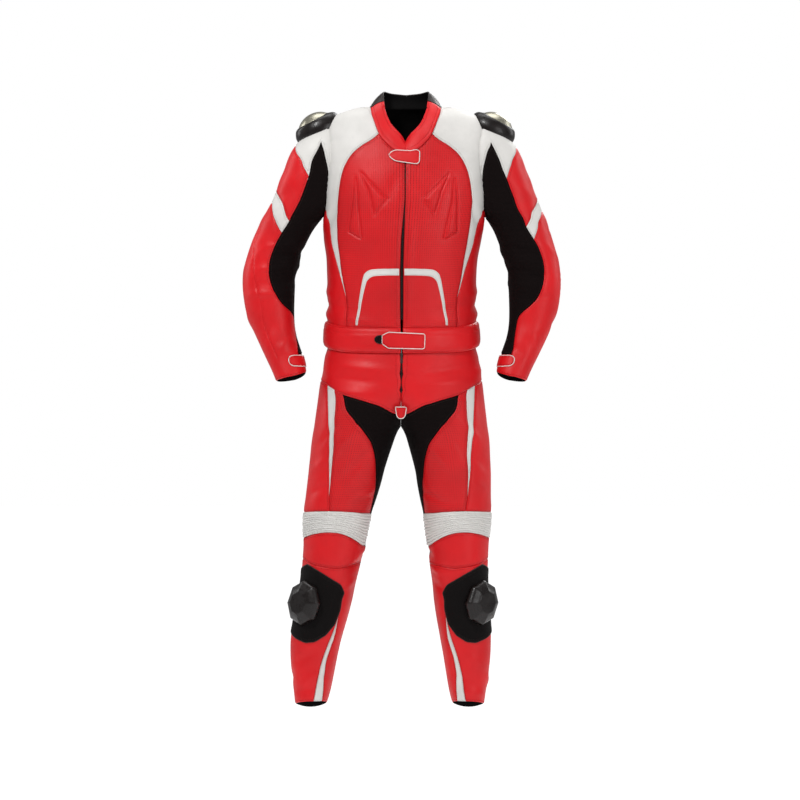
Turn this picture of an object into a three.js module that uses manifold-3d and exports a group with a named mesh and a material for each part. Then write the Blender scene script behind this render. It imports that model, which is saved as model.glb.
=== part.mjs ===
// A two-piece motorcycle race suit, filled out as if worn, with nothing inside it.
// Millimetres, +Z up. The front faces -Y and the wearer's left is +X. The origin is in the neck, at
// shoulder height. Torso, sleeves and legs are tubes of level sections. Each panel is cut flat, in a plane
// whose axes are the angle round the tube and the height, and is then wrapped round its tube, so neighbours
// share one seam line.

import * as THREE from "three";
import { mergeVertices } from "three/addons/utils/BufferGeometryUtils.js";
import Module from "manifold-3d";

const wasm = await Module();
wasm.setup();

// Driving dimensions
const WALL = 2.0;            // leather and its backing
const SEAM = 0.18;           // half the gap between two panels
const FINE_SEAM = 0.28;      // the same where the tube is slim, so that the seam stays open
const TRIM_GAP = 0.3;        // gap under a piece that lies on another
const APPLIED = 1.3;         // thickness of an applied stripe or strap
const SHARPNESS = 2.3;       // power of the section curve, 2 being an ellipse
const DEG = Math.PI / 180;

// How far the worn suit leans sideways at each height
const LEAN = table("z shift", [
  [60, 0], [-75, -2], [-193, -2], [-287, -8], [-357, -10], [-522, -10], [-752, -12.5], [-837, -15],
  [-921, -20],
  [-1006, -23.5], [-1090, -28], [-1175, -33], [-1231, -36], [-1400, -39],
]);

// Sections of the torso: half width, and the depths to the front and to the back
const TORSO = table("z half front back", [
  [32, 68, 30, 46], [28, 83, 36, 51], [22, 120, 43, 59], [10, 156, 53, 70], [-6, 185, 63, 82],
  [-28, 204, 72, 92], [-52, 210, 81, 100], [-90, 207, 95, 109], [-140, 200.5, 109, 118],
  [-190, 196.5, 117, 124],
  [-240, 190, 120, 123], [-287, 185, 121, 121], [-335, 177.5, 118, 115], [-400, 174.5, 112, 106],
  [-478, 174.5, 108.5, 102.5], [-556, 179.5, 114, 112],
]);

// Sections of a sleeve: its middle in x and y, half width and half depth
const SLEEVE = table("z x half depth y", [
  [-2, 165, 9, 7, 4], [-9.4, 168, 30, 26, 4], [-23.5, 178, 45, 40, 4], [-80, 198, 69, 63, 4],
  [-140, 218, 75, 68, 5], [-216, 245.5, 77, 67, 7], [-240, 265, 71, 66, 8], [-285, 287, 65.5, 64, 10],
  [-350, 307.5, 64, 63, 12], [-410, 313, 61, 61, 11], [-465, 308, 55, 56, 5], [-550, 280, 45, 47, -14],
  [-625, 254, 37, 39, -41],
]);

// Sections of a leg: inner and outer edge in x, depths to the front and to the back
const LEG = table("z inner outer front back", [
  [-505, -176.1, 176.1, 110.3, 105.6], [-556, -179.4, 179.4, 113.9, 111.9],
  [-600, -155, 186.5, 118, 121], [-645, -108, 193.5, 119, 130], [-690, -43, 199, 117, 129],
  [-727, 1.5, 204, 112, 121], [-770, 19.5, 210, 105, 109], [-845, 39, 215.5, 96, 98],
  [-925, 59, 220.5, 88, 86],
  [-1006, 74.5, 217.5, 85, 71], [-1080, 88, 219, 79, 75], [-1160, 101, 229, 68, 80],
  [-1240, 119.5, 236, 59.5, 73],
  [-1310, 132.5, 231, 54, 62], [-1392, 152, 220, 49, 53],
]);

// Looks of the materials
const LOOKS = {
  red: [0xd92a30, 0.5, 0],
  white: [0xebe8e2, 0.5, 0],
  black: [0x0c0a0a, 0.85, 0],
  rubber: [0x1a1310, 0.3, 0],
  metal: [0x8d8872, 0.3, 0.9],
};

const suit = new THREE.Group();
suit.name = "race_suit";

// Tables

function table(columns, rows) {
  const names = columns.split(" ");
  return rows.map((row) => Object.fromEntries(names.map((name, i) => [name, row[i]])));
}

// The value of a column where the key column has a value, on straight lines between the rows
function between(rows, key, column, value) {
  const falling = rows[0][key] > rows[1][key];
  let i = 1;
  while (i < rows.length - 1 && (falling ? rows[i][key] > value : rows[i][key] < value)) i += 1;
  const share = (value - rows[i - 1][key]) / (rows[i][key] - rows[i - 1][key]);
  return rows[i - 1][column] + share * (rows[i][column] - rows[i - 1][column]);
}

const at = (rows, column, z) => between(rows, "z", column, z);

// Tubes: each gives the section at a height, as the middle, the half width and the two depths

const torso = {
  rows: TORSO,
  step: 22.5,
  flat: 2.6,
  symmetric: true,
  section: (z) => (
    { x: 0, y: 0, half: at(TORSO, "half", z), front: at(TORSO, "front", z), back: at(TORSO, "back", z) }
  ),
};

const sleeve = {
  rows: SLEEVE,
  step: 30,
  flat: 1.15,
  section: (z) => {
    const depth = at(SLEEVE, "depth", z);
    const middle = { x: at(SLEEVE, "x", z), y: at(SLEEVE, "y", z) };
    return { ...middle, half: at(SLEEVE, "half", z), front: depth, back: depth };
  },
};

const leg = {
  rows: LEG,
  step: 22.5,
  flat: 1.6,
  section: (z) => {
    const inner = at(LEG, "inner", z);
    const outer = at(LEG, "outer", z);
    const depths = { front: at(LEG, "front", z), back: at(LEG, "back", z) };
    return { x: (inner + outer) / 2, y: 0, half: (outer - inner) / 2, ...depths };
  },
};

// A point of a tube's section: 0 degrees is the front, 90 the outer side, 180 the back and -90 the inner side
function sectionPoint(tube, angle, z) {
  const s = tube.section(z);
  const sine = Math.sin(angle * DEG);
  const cosine = Math.cos(angle * DEG);
  const depth = cosine > 0 ? s.front : s.back;
  const x = s.x + s.half * Math.sign(sine) * Math.abs(sine) ** (2 / SHARPNESS);
  const y = s.y - depth * Math.sign(cosine) * Math.abs(cosine) ** (2 / SHARPNESS);
  return new THREE.Vector3(x, y, z);
}

// The angle of a point that is seen from the front at x, z
function front(tube, x, z) {
  const s = tube.section(z);
  const across = Math.max(-1, Math.min(1, (x - s.x) / s.half));
  return [Math.sign(across) * Math.asin(Math.abs(across) ** (SHARPNESS / 2)) / DEG, z];
}

// The same seen from behind
function behind(tube, x, z) {
  const [angle] = front(tube, x, z);
  return [180 - angle, z];
}

const seen = (tube, points) => points.map(([x, z]) => front(tube, x, z));
const seenBehind = (tube, points) => points.map(([x, z]) => behind(tube, x, z));

// Facets: the tube between its own sections and its own steps round is flat, so that all that is cut from
// it or laid on it fits

function facetNormal(tube, angle, row) {
  const rows = tube.rows;
  const zUp = rows[Math.max(0, row - 1)].z;
  const zDown = rows[Math.min(rows.length - 1, row + 1)].z;
  const along = sectionPoint(tube, angle, zUp).sub(sectionPoint(tube, angle, zDown));
  const round = sectionPoint(tube, angle + 4, rows[row].z).sub(sectionPoint(tube, angle - 4, rows[row].z));
  return round.cross(along).normalize();
}

const cornerMemory = new Map();

function corner(tube, column, row) {
  const key = `${tube.flat} ${column} ${row}`;
  if (!cornerMemory.has(key)) {
    const angle = column * tube.step;
    cornerMemory.set(key, {
      point: sectionPoint(tube, angle, tube.rows[row].z),
      normal: facetNormal(tube, angle, row),
    });
  }
  return cornerMemory.get(key);
}

// The torso's right half is the mirror of its left half, facets too
function isTurned(tube, column) {
  const turn = (((column + 0.5) * tube.step) % 360 + 360) % 360;
  return tube.symmetric === true && turn > 180;
}

// The place on the faceted tube at an angle and a height, moved out along the facets' normal
function onTube(tube, angle, z, out) {
  const rows = tube.rows;
  let row = 0;
  while (row < rows.length - 2 && rows[row + 1].z > z) row += 1;
  const column = Math.floor(angle / tube.step + 1e-6);
  const v = (rows[row].z - z) / (rows[row].z - rows[row + 1].z);
  const turned = isTurned(tube, column);
  const share = angle / tube.step - column;
  const u = turned ? 1 - share : share;
  const near = turned ? column + 1 : column;
  const far = turned ? column : column + 1;
  const result = new THREE.Vector3();
  const add = (c, weight) => result.addScaledVector(c.point, weight).addScaledVector(c.normal, weight * out);
  add(corner(tube, far, row), u <= 1 - v ? u : 1 - v);
  add(corner(tube, near, row + 1), u <= 1 - v ? v : 1 - u);
  if (u <= 1 - v) {
    add(corner(tube, near, row), 1 - u - v);
  } else {
    add(corner(tube, far, row + 1), u + v - 1);
  }
  return result;
}

// Solids

function solidOf(geometry, keepFacets = false) {
  const bare = geometry.clone();
  for (const name of ["normal", "uv"]) {
    if (bare.attributes[name]) bare.deleteAttribute(name);
  }
  const merged = mergeVertices(bare, 1e-4);
  const triVerts = Uint32Array.from(merged.index.array);
  const parts = { numProp: 3, vertProperties: Float32Array.from(merged.attributes.position.array), triVerts };
  if (keepFacets) parts.faceID = Uint32Array.from({ length: triVerts.length / 3 }, (_, i) => i);
  return new wasm.Manifold(new wasm.Mesh(parts));
}

function geometryOf(solid) {
  const mesh = solid.getMesh();
  const geometry = new THREE.BufferGeometry();
  const positions = new Float32Array((mesh.vertProperties.length / mesh.numProp) * 3);
  for (let i = 0; i < positions.length / 3; i += 1) {
    for (let k = 0; k < 3; k += 1) positions[3 * i + k] = mesh.vertProperties[mesh.numProp * i + k];
  }
  geometry.setAttribute("position", new THREE.BufferAttribute(positions, 3));
  geometry.setIndex(Array.from(mesh.triVerts));
  return geometry;
}

// Moves an outline in by a distance, so that a seam is left between it and its neighbour
function inset(points, distance) {
  const area = THREE.ShapeUtils.area(points.map(([x, y]) => new THREE.Vector2(x, y)));
  const turn = Math.sign(area);
  return points.map((point, i) => {
    const before = points[(i + points.length - 1) % points.length];
    const after = points[(i + 1) % points.length];
    const a = new THREE.Vector2(point[0] - before[0], point[1] - before[1]).normalize();
    const b = new THREE.Vector2(after[0] - point[0], after[1] - point[1]).normalize();
    const miter = new THREE.Vector2(-a.y - b.y, a.x + b.x).normalize();
    const reach = distance / Math.max(0.35, miter.dot(new THREE.Vector2(-a.y, a.x)));
    return [point[0] + turn * reach * miter.x, point[1] + turn * reach * miter.y];
  });
}

function flatPrism(outline, low, high) {
  const shape = new THREE.Shape(outline.map(([x, y]) => new THREE.Vector2(x, y)));
  const prism = new THREE.ExtrudeGeometry(shape, { depth: high - low, bevelEnabled: false });
  prism.translate(0, 0, low);
  return solidOf(prism);
}

// The flat sheet that a panel is cut from, ruled along the tube's sections and steps on both faces alike
function ruledSheet(tube, outline, low, high, extraRows) {
  const angles = outline.map(([u]) => u / tube.flat);
  const heights = outline.map(([, v]) => v);
  const first = Math.floor(Math.min(...angles) / tube.step) - 1;
  const last = Math.ceil(Math.max(...angles) / tube.step) + 1;
  const levels = [...tube.rows.map((row) => row.z), ...extraRows].sort((a, b) => b - a);
  const above = levels.filter((z) => z > Math.max(...heights));
  const below = levels.filter((z) => z < Math.min(...heights));
  const between = levels.filter((z) => z <= Math.max(...heights) && z >= Math.min(...heights));
  const highest = above[above.length - 1] ?? levels[0] + 5;
  const lowest = below[0] ?? levels[levels.length - 1] - 5;
  const used = [highest, ...between, lowest];
  const wide = last - first + 1;
  const positions = [];
  for (const face of [high, low]) {
    for (const z of used) {
      for (let c = first; c <= last; c += 1) positions.push(c * tube.step * tube.flat, z, face);
    }
  }
  const shift = wide * used.length;
  const index = [];
  const quad = (a, b, c, d) => index.push(a, b, d, b, c, d);
  for (let r = 0; r < used.length - 1; r += 1) {
    for (let c = 0; c < wide - 1; c += 1) {
      const a = r * wide + c;
      const b = a + wide;
      const turned = isTurned(tube, first + c);
      const facets = turned ? [a, b, b + 1, a, b + 1, a + 1] : [a, b, a + 1, b, b + 1, a + 1];
      index.push(...facets, ...facets.map((corner) => corner + shift).reverse());
    }
    const left = r * wide;
    const right = left + wide - 1;
    quad(left, shift + left, shift + left + wide, left + wide);
    quad(right, right + wide, shift + right + wide, shift + right);
  }
  const bottom = (used.length - 1) * wide;
  for (let c = 0; c < wide - 1; c += 1) {
    quad(c, c + 1, shift + c + 1, shift + c);
    quad(bottom + c, shift + bottom + c, shift + bottom + c + 1, bottom + c + 1);
  }
  const sheet = new THREE.BufferGeometry();
  sheet.setAttribute("position", new THREE.Float32BufferAttribute(positions, 3));
  sheet.setIndex(index);
  return solidOf(sheet, true);
}

// Wraps the upper face of a flat cut round its tube, as a wall between two distances from the tube
function wrapped(flatCut, tube, low, high, raise) {
  const mesh = flatCut.getMesh();
  const spot = (i) => mesh.vertProperties.slice(mesh.numProp * i, mesh.numProp * i + 3);
  const used = new Map();
  const faces = [];
  for (let t = 0; t < mesh.triVerts.length; t += 3) {
    const triangle = Array.from(mesh.triVerts.slice(t, t + 3));
    if (triangle.every((i) => spot(i)[2] > 0)) {
      faces.push(triangle);
      triangle.forEach((i) => used.set(i, used.get(i) ?? used.size));
    }
  }
  const outer = [];
  const inner = [];
  for (const i of used.keys()) {
    const [u, z] = spot(i);
    const angle = u / tube.flat;
    const lift = raise(angle, z);
    outer.push(...onTube(tube, angle, z, high + lift).toArray());
    inner.push(...onTube(tube, angle, z, low > 0 ? low + lift : low).toArray());
  }
  const edges = new Set();
  const index = [];
  for (const face of faces) {
    const [a, b, c] = face.map((i) => used.get(i));
    index.push(a, b, c, used.size + a, used.size + c, used.size + b);
    for (const [p, q] of [[a, b], [b, c], [c, a]]) edges.add(`${p} ${q}`);
  }
  for (const edge of edges) {
    const [p, q] = edge.split(" ").map(Number);
    if (!edges.has(`${q} ${p}`)) index.push(p, used.size + p, q, q, used.size + p, used.size + q);
  }
  const geometry = new THREE.BufferGeometry();
  geometry.setAttribute("position", new THREE.Float32BufferAttribute([...outer, ...inner], 3));
  geometry.setIndex(index);
  return solidOf(geometry);
}

// A panel from its outline, given as angle and height. low and high are its faces' distances from the tube.
function panel(tube, outline, options = {}) {
  const { low = -WALL, high = 0, seam = SEAM, raise = () => 0, extraRows = [] } = options;
  const flat = inset(outline.map(([angle, z]) => [angle * tube.flat, z]), seam);
  const cut = ruledSheet(tube, flat, -1, 1, extraRows).intersect(flatPrism(flat, -2, 2));
  return wrapped(cut, tube, low, high, raise);
}

// The whole inside of a tube as one body, grown by a distance, to cut other pieces clear of it
function filled(tube, grow) {
  const columns = Math.round(360 / tube.step);
  const positions = [];
  const index = [];
  tube.rows.forEach((row) => {
    for (let column = 0; column < columns; column += 1) {
      const place = onTube(tube, column * tube.step, row.z, grow);
      positions.push(place.x, place.y, place.z);
    }
  });
  const count = tube.rows.length;
  for (let r = 0; r < count - 1; r += 1) {
    for (let c = 0; c < columns; c += 1) {
      const right = (c + 1) % columns;
      const a = r * columns + c;
      const b = r * columns + right;
      const d = (r + 1) * columns + c;
      const e = (r + 1) * columns + right;
      index.push(a, d, b, b, d, e);
    }
  }
  for (let c = 1; c < columns - 1; c += 1) {
    index.push(0, c, c + 1);
    const base = (count - 1) * columns;
    index.push(base, base + c + 1, base + c);
  }
  const geometry = new THREE.BufferGeometry();
  geometry.setAttribute("position", new THREE.Float32BufferAttribute(positions, 3));
  geometry.setIndex(index);
  return solidOf(geometry);
}

function block(x0, x1, y0, y1, z0, z1) {
  const box = new THREE.BoxGeometry(x1 - x0, y1 - y0, z1 - z0);
  box.translate((x0 + x1) / 2, (y0 + y1) / 2, (z0 + z1) / 2);
  return solidOf(box);
}

// Placing in the suit: each solid leans with the worn suit, and a right-hand piece mirrors a left-hand one

function lean(z) {
  return at(LEAN, "shift", Math.max(LEAN[LEAN.length - 1].z, Math.min(LEAN[0].z, z)));
}

function place(name, solid, look, mirrored = false) {
  const geometry = geometryOf(mirrored ? solid.mirror([1, 0, 0]) : solid);
  const position = geometry.attributes.position;
  for (let i = 0; i < position.count; i += 1) {
    position.setX(i, position.getX(i) + lean(position.getZ(i)));
  }
  geometry.computeVertexNormals();
  const [color, roughness, metalness] = LOOKS[look];
  const mesh = new THREE.Mesh(geometry, new THREE.MeshStandardMaterial({ color, roughness, metalness }));
  mesh.name = name;
  suit.add(mesh);
}

function placePair(name, solid, look) {
  place(`${name}_left`, solid, look);
  place(`${name}_right`, solid, look, true);
}

// Seam lines of the jacket, as seen from the front

const CHEST_OVAL = [
  [59, -36], [80, -53], [104, -68], [127, -89], [144, -118], [153, -150], [158, -190], [159, -228],
  [155, -275],
  [149, -320], [142, -368], [131, -424],
];
const STRIPE_OUTER = [
  [182, -222], [171, -273], [166, -301], [158, -329], [149.5, -357], [140.5, -390], [131, -424],
];
const NECK_FRONT = [[0, -80], [13, -78], [32, -67], [50, -49], [59, -36]];
const NECK_SIDE = [[66, -19], [71, -5], [76, 9], [79, 24], [80, 28]];
const NECK_BACK = table("angle z", [[90, 28.5], [112, 27.5], [130, 26], [150, 25], [180, 25]]);
const JACKET_BOTTOM = -498;
const SIDE_SEAM = 115;
const ZIP_SLIT = [[1.2, -90], [1.2, -200], [3.2, -300], [3.2, -450], [2.2, JACKET_BOTTOM]];
const ARMHOLE_TOP = [88, -90];       // angle and height, inside the sleeve
const ARMHOLE_FOOT = [88, -205];
const ARMHOLE_TOP_BACK = [104, -90];
const ARMHOLE_FOOT_BACK = [104, -205];
const YOKE_BACK = table("angle z", [[150, 25], [146, 0], [132, -40], [112, -78]]);
const ZIP_TAPE = [[-9, -96], [9, -96], [9, -470], [-9, -470]];
const ZIP_WALL = 1.2;
const ARCH_OUTER = [[6, -356], [70, -358], [83, -364], [90, -376], [97, -412], [103, -452], [107.5, -488]];
const ARCH_INNER = [[102.5, -488], [94, -436], [85, -396], [79, -382], [66, -374], [6, -371.5]];
const CHEST_PADS = [
  [[41, -126], [15, -196], [28, -235], [36, -168]],
  [[52, -140], [50, -200], [40, -287], [55, -270]],
];
const PAD_HEIGHT = 2.2;

const chestOval = seen(torso, CHEST_OVAL);
const stripeOuter = seen(torso, STRIPE_OUTER);
const neckFront = seen(torso, NECK_FRONT);
const neckSide = seen(torso, NECK_SIDE);
const neckBack = NECK_BACK.map(({ angle, z }) => [angle, z]);
const yokeBack = YOKE_BACK.map(({ angle, z }) => [angle, z]);
const sleeveBody = filled(sleeve, 0.2);
const torsoBody = filled(torso, 0.2);
const legBody = filled(leg, TRIM_GAP);
const besideMiddle = block(0.2, 500, -300, 300, -1500, 100);

function chest() {
  const slit = seen(torso, ZIP_SLIT).reverse();
  const outline = [
    ...slit, ...neckFront.slice(1), ...chestOval.slice(1), front(torso, 130, JACKET_BOTTOM),
  ];
  const raised = { low: -WALL / 2, high: PAD_HEIGHT };
  const pads = CHEST_PADS.map((points) => panel(torso, seen(torso, points), raised));
  return pads.reduce((whole, pad) => whole.add(pad), panel(torso, outline));
}

function yoke() {
  const outline = [
    ...chestOval.slice().reverse(), ...neckSide, ...neckBack.slice(0, 4), ...yokeBack.slice(1), ARMHOLE_TOP,
    ARMHOLE_FOOT, ...stripeOuter.slice(0, -1),
  ];
  return panel(torso, outline).subtract(sleeveBody);
}

function side() {
  const outline = [
    ARMHOLE_FOOT, ARMHOLE_FOOT_BACK, [SIDE_SEAM, -250], [SIDE_SEAM, JACKET_BOTTOM],
    front(torso, 130, JACKET_BOTTOM), ...stripeOuter.slice().reverse(),
  ];
  return panel(torso, outline).subtract(sleeveBody);
}

function back() {
  const half = [
    ...yokeBack, ARMHOLE_TOP_BACK, ARMHOLE_FOOT_BACK, [SIDE_SEAM, -250], [SIDE_SEAM, JACKET_BOTTOM],
  ];
  const other = half.slice().reverse().map(([angle, z]) => [360 - angle, z]);
  const rightSleeveBody = sleeveBody.mirror([1, 0, 0]);
  return panel(torso, [...half, ...other, [180, 25]]).subtract(sleeveBody).subtract(rightSleeveBody);
}

function archStripe() {
  return strap(torso, [...ARCH_OUTER, ...ARCH_INNER], TRIM_GAP, APPLIED);
}

function zip() {
  const high = -WALL - TRIM_GAP;
  return panel(torso, seen(torso, ZIP_TAPE), { low: high - ZIP_WALL, high });
}

// Waistband: a padded roll on the torso, over the jacket's hem and the trousers' top

const BAND_TOP = table("angle z", [[0, -494], [45, -491], [90, -477], [135, -476], [180, -476]]);
const BAND_DEPTH = 60;
const BAND_BULGE = 6;
const BAND_WALL = 3;
const BAND_ROWS = [-490, -506, -530, -545];

function bandTop(angle) {
  const turned = Math.abs(angle > 180 ? 360 - angle : angle);
  return between(BAND_TOP, "angle", "z", turned);
}

function waistband() {
  const angles = [0.5];
  for (let angle = torso.step; angle < 360; angle += torso.step) angles.push(angle);
  angles.push(359.5);
  const outline = [
    ...angles.map((angle) => [angle, bandTop(angle)]),
    ...angles.reverse().map((angle) => [angle, bandTop(angle) - BAND_DEPTH]),
  ];
  const raise = (angle, z) => {
    const share = Math.max(0, Math.min(1, (bandTop(angle) - z) / BAND_DEPTH));
    return BAND_BULGE * (1 - (2 * share - 1) ** 4);
  };
  return panel(torso, outline, { low: TRIM_GAP, high: TRIM_GAP + BAND_WALL, raise, extraRows: BAND_ROWS });
}

// Straps that close the jacket, as seen from the front

const NECK_STRAP = [
  [-38, -91], [-33, -83], [-22, -79], [12, -81], [28, -77.5], [34, -83], [33, -109], [27, -112],
  [-22, -105],
  [-33, -98],
];
const BELT_STRAP = [[-45, -513], [-31, -505], [53, -509], [52, -545], [-31, -543], [-45, -532]];
const BELT_TAB = [
  [-45.5, -513], [-45.5, -532], [-54, -532], [-60, -528], [-62, -522], [-60, -516], [-54, -513],
];
const BELT_OUT = TRIM_GAP + BAND_WALL + BAND_BULGE + TRIM_GAP;

function strap(tube, outline, out, thickness) {
  return panel(tube, seen(tube, outline), { low: out, high: out + thickness });
}

// Collar: a band that leans in from the neck seam to its top edge

const COLLAR = table("x z topX topY topZ", [
  [0.6, -80, 0.6, -66, -60], [13, -78, 10, -66, -44], [32, -67, 21, -64, -32], [50, -49, 33, -59, -19],
  [59, -36, 40.5, -53, -6], [66, -19, 46, -45, 7], [71, -5, 49.5, -37, 18], [76, 9, 51.5, -28, 30],
  [79, 24, 52.5, -20, 38],
]);
const COLLAR_BACK = table("angle z topX topY topZ", [
  [90, 28.5, 54, 0, 56], [112, 27.5, 52, 18, 61], [130, 26, 45, 33, 60], [150, 25, 31, 45, 57],
  [180, 25, 0, 52, 54],
]);
const COLLAR_WALL = 2.4;
const COLLAR_FOOT = 0.025;   // share of the collar's height that is left open above the neck seam
const COLLAR_SPLIT = 0.06;   // share of the way to the next column at which the black part starts

function collarColumns() {
  const sides = COLLAR.map((row) => {
    const [angle] = front(torso, row.x, row.z);
    return { foot: onTube(torso, angle, row.z, 0), top: new THREE.Vector3(row.topX, row.topY, row.topZ) };
  });
  const backs = COLLAR_BACK.map((row) => (
    { foot: onTube(torso, row.angle, row.z, 0), top: new THREE.Vector3(row.topX, row.topY, row.topZ) }
  ));
  return { sides, backs };
}

const mirrorColumn = ({ foot, top }) => (
  { foot: foot.clone().setX(-foot.x), top: top.clone().setX(-top.x) }
);

// A wall through the columns, closed at its edges. Its outer face goes through the columns' points.
function bandWall(columns, levels, wall) {
  const outer = columns.map(({ foot, top }) => levels.map((share) => foot.clone().lerp(top, share)));
  const inner = outer.map((column, c) => column.map((point, l) => {
    const before = outer[Math.max(0, c - 1)][l];
    const after = outer[Math.min(outer.length - 1, c + 1)][l];
    const up = column[column.length - 1].clone().sub(column[0]);
    const normal = after.clone().sub(before).cross(up).normalize();
    return point.clone().addScaledVector(normal, -wall);
  }));
  const height = levels.length;
  const positions = [...outer.flat(), ...inner.flat()].flatMap((p) => p.toArray());
  const shift = outer.length * height;
  const index = [];
  const quad = (a, b, c, d) => index.push(a, b, c, a, c, d);
  for (let c = 0; c < outer.length - 1; c += 1) {
    for (let l = 0; l < height - 1; l += 1) {
      const a = c * height + l;
      const b = a + height;
      quad(a, b, b + 1, a + 1);
      quad(shift + a, shift + a + 1, shift + b + 1, shift + b);
    }
    const low = c * height;
    const high = low + height - 1;
    quad(low, shift + low, shift + low + height, low + height);
    quad(high, high + height, shift + high + height, shift + high);
  }
  const last = (outer.length - 1) * height;
  for (let l = 0; l < height - 1; l += 1) {
    quad(l, l + 1, shift + l + 1, shift + l);
    quad(last + l, shift + last + l, shift + last + l + 1, last + l + 1);
  }
  const geometry = new THREE.BufferGeometry();
  geometry.setAttribute("position", new THREE.Float32BufferAttribute(positions, 3));
  geometry.setIndex(index);
  return solidOf(geometry);
}

const COLLAR_LEVELS = [COLLAR_FOOT, 0.5, 1];

function collarRed() {
  const { sides } = collarColumns();
  return bandWall(sides, COLLAR_LEVELS, COLLAR_WALL);
}

function collarBlack() {
  const { sides, backs } = collarColumns();
  const start = sides[sides.length - 1];
  const next = backs[0];
  const first = {
    foot: start.foot.clone().lerp(next.foot, COLLAR_SPLIT),
    top: start.top.clone().lerp(next.top, COLLAR_SPLIT),
  };
  const half = [first, ...backs.slice(0, -1)];
  const other = half.map(mirrorColumn).reverse();
  return bandWall([...half, backs[backs.length - 1], ...other], COLLAR_LEVELS, COLLAR_WALL);
}

// Sleeve seams, as seen from the front, and angles where the back hides them

const BLACK_FRONT = [
  [199, -52], [207, -78], [219, -105], [228, -134], [236, -158], [245, -185], [257, -212], [273, -246],
  [293, -279],
  [306, -301], [317, -329], [322, -357], [321, -380], [311, -405], [291, -435], [267, -462], [257, -480],
  [252, -512], [244, -555],
];
const CAP_END = 3;           // where the cap, the stripe's top and its bottom meet the black panel
const STRIPE_START = 7;
const STRIPE_END = 8;
const BLACK_BEHIND = [
  [199, -52], [207, -78], [219, -105], [228, -134], [237, -190], [249, -246], [256, -279],
];
const BLACK_BEHIND_LOW = [[222, -340], [230, -400], [235, -480], [235, -555]];
const BEHIND_CAP = 3;
const BEHIND_START = 5;
const BEHIND_END = 6;
const CAP_EDGE = [[239, -126], [245, -110], [251, -96], [257, -82]];
const CAP_SIDE = [90, -66];
const STRIPE_TOP = [[285, -228], [297, -208]];
const STRIPE_TOP_SIDE = [90, -188];
const STRIPE_BOTTOM = [[305, -253], [312, -232]];
const STRIPE_BOTTOM_SIDE = [90, -208];
const CAP_INSIDE = [[205, -52], [205, -3], [-25, -3], [-25, -52]];   // angle and height, inside the torso
const CUFF = table("angle z", [
  [-90, -596], [-45, -600], [0, -607], [45, -614], [90, -619], [135, -621], [180, -618], [225, -608],
  [270, -596],
]);
const CUFF_STRAP = [
  [236, -559], [250, -558], [261, -560], [265, -566], [263, -577], [255, -583], [236, -584],
];
const CUFF_STRAP_BACK = [[-125, -584], [-125, -559]];

const blackFront = seen(sleeve, BLACK_FRONT);
const blackBehind = [...seenBehind(sleeve, BLACK_BEHIND), ...BLACK_BEHIND_LOW];
const capEdge = seen(sleeve, CAP_EDGE);
const capBehind = seenBehind(sleeve, CAP_EDGE).reverse();
const stripeTop = seen(sleeve, STRIPE_TOP);
const stripeTopBehind = seenBehind(sleeve, STRIPE_TOP.map(([x, z]) => [x - 3, z])).reverse();
const stripeBottom = seen(sleeve, STRIPE_BOTTOM);
const stripeBottomBehind = seenBehind(sleeve, STRIPE_BOTTOM.map(([x, z]) => [x - 3, z])).reverse();
const upTurn = ([angle, z]) => [angle - 360, z];

function onSleeve(outline) {
  return panel(sleeve, outline).subtract(torsoBody);
}

function cap() {
  return onSleeve([
    ...blackFront.slice(0, CAP_END + 1), ...capEdge, CAP_SIDE, ...capBehind,
    ...blackBehind.slice(0, BEHIND_CAP + 1).reverse(), ...CAP_INSIDE,
  ]);
}

function upperSleeve() {
  return onSleeve([
    ...blackFront.slice(CAP_END, STRIPE_START + 1), ...stripeTop, STRIPE_TOP_SIDE, ...stripeTopBehind,
    ...blackBehind.slice(BEHIND_CAP, BEHIND_START + 1).reverse(), ...capBehind.slice().reverse(), CAP_SIDE,
    ...capEdge.slice().reverse(),
  ]);
}

function sleeveStripe() {
  return onSleeve([
    ...blackFront.slice(STRIPE_START, STRIPE_END + 1), ...stripeBottom, STRIPE_BOTTOM_SIDE,
    ...stripeBottomBehind, ...blackBehind.slice(BEHIND_START, BEHIND_END + 1).reverse(),
    ...stripeTopBehind.slice().reverse(), STRIPE_TOP_SIDE, ...stripeTop.slice().reverse(),
  ]);
}

function forearm() {
  const cuff = CUFF.map(({ angle, z }) => [angle, z]);
  return onSleeve([
    ...blackFront.slice(STRIPE_END), [-90, -555], ...cuff, [270, -555],
    ...blackBehind.slice(BEHIND_END).reverse(), ...stripeBottomBehind.slice().reverse(), STRIPE_BOTTOM_SIDE,
    ...stripeBottom.slice().reverse(),
  ]);
}

function blackSleeve() {
  return onSleeve([...blackFront, ...blackBehind.slice().reverse().map(upTurn)]);
}

function cuffStrap() {
  const outline = [...seen(sleeve, CUFF_STRAP), ...CUFF_STRAP_BACK];
  return panel(sleeve, outline, { low: TRIM_GAP, high: TRIM_GAP + APPLIED });
}

// Hard sliders: domes that are cut to the surface they sit on

function dome(centre, reach, turn) {
  const shape = new THREE.SphereGeometry(1, 12, 7);
  shape.scale(reach.x, reach.y, reach.z);
  shape.applyQuaternion(turn);
  shape.translate(centre.x, centre.y, centre.z);
  return solidOf(shape);
}

const SHOULDER = {
  centre: new THREE.Vector3(206, 4, -31),
  reach: new THREE.Vector3(54, 42, 33),
  insertCentre: new THREE.Vector3(207, 4, -29),
  insertReach: new THREE.Vector3(37, 29, 35),
  turn: new THREE.Quaternion().setFromAxisAngle(new THREE.Vector3(0, 1, 0), 27 * DEG),
};

function shoulderSlider() {
  return dome(SHOULDER.centre, SHOULDER.reach, SHOULDER.turn).subtract(torsoBody).subtract(sleeveBody);
}

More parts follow.
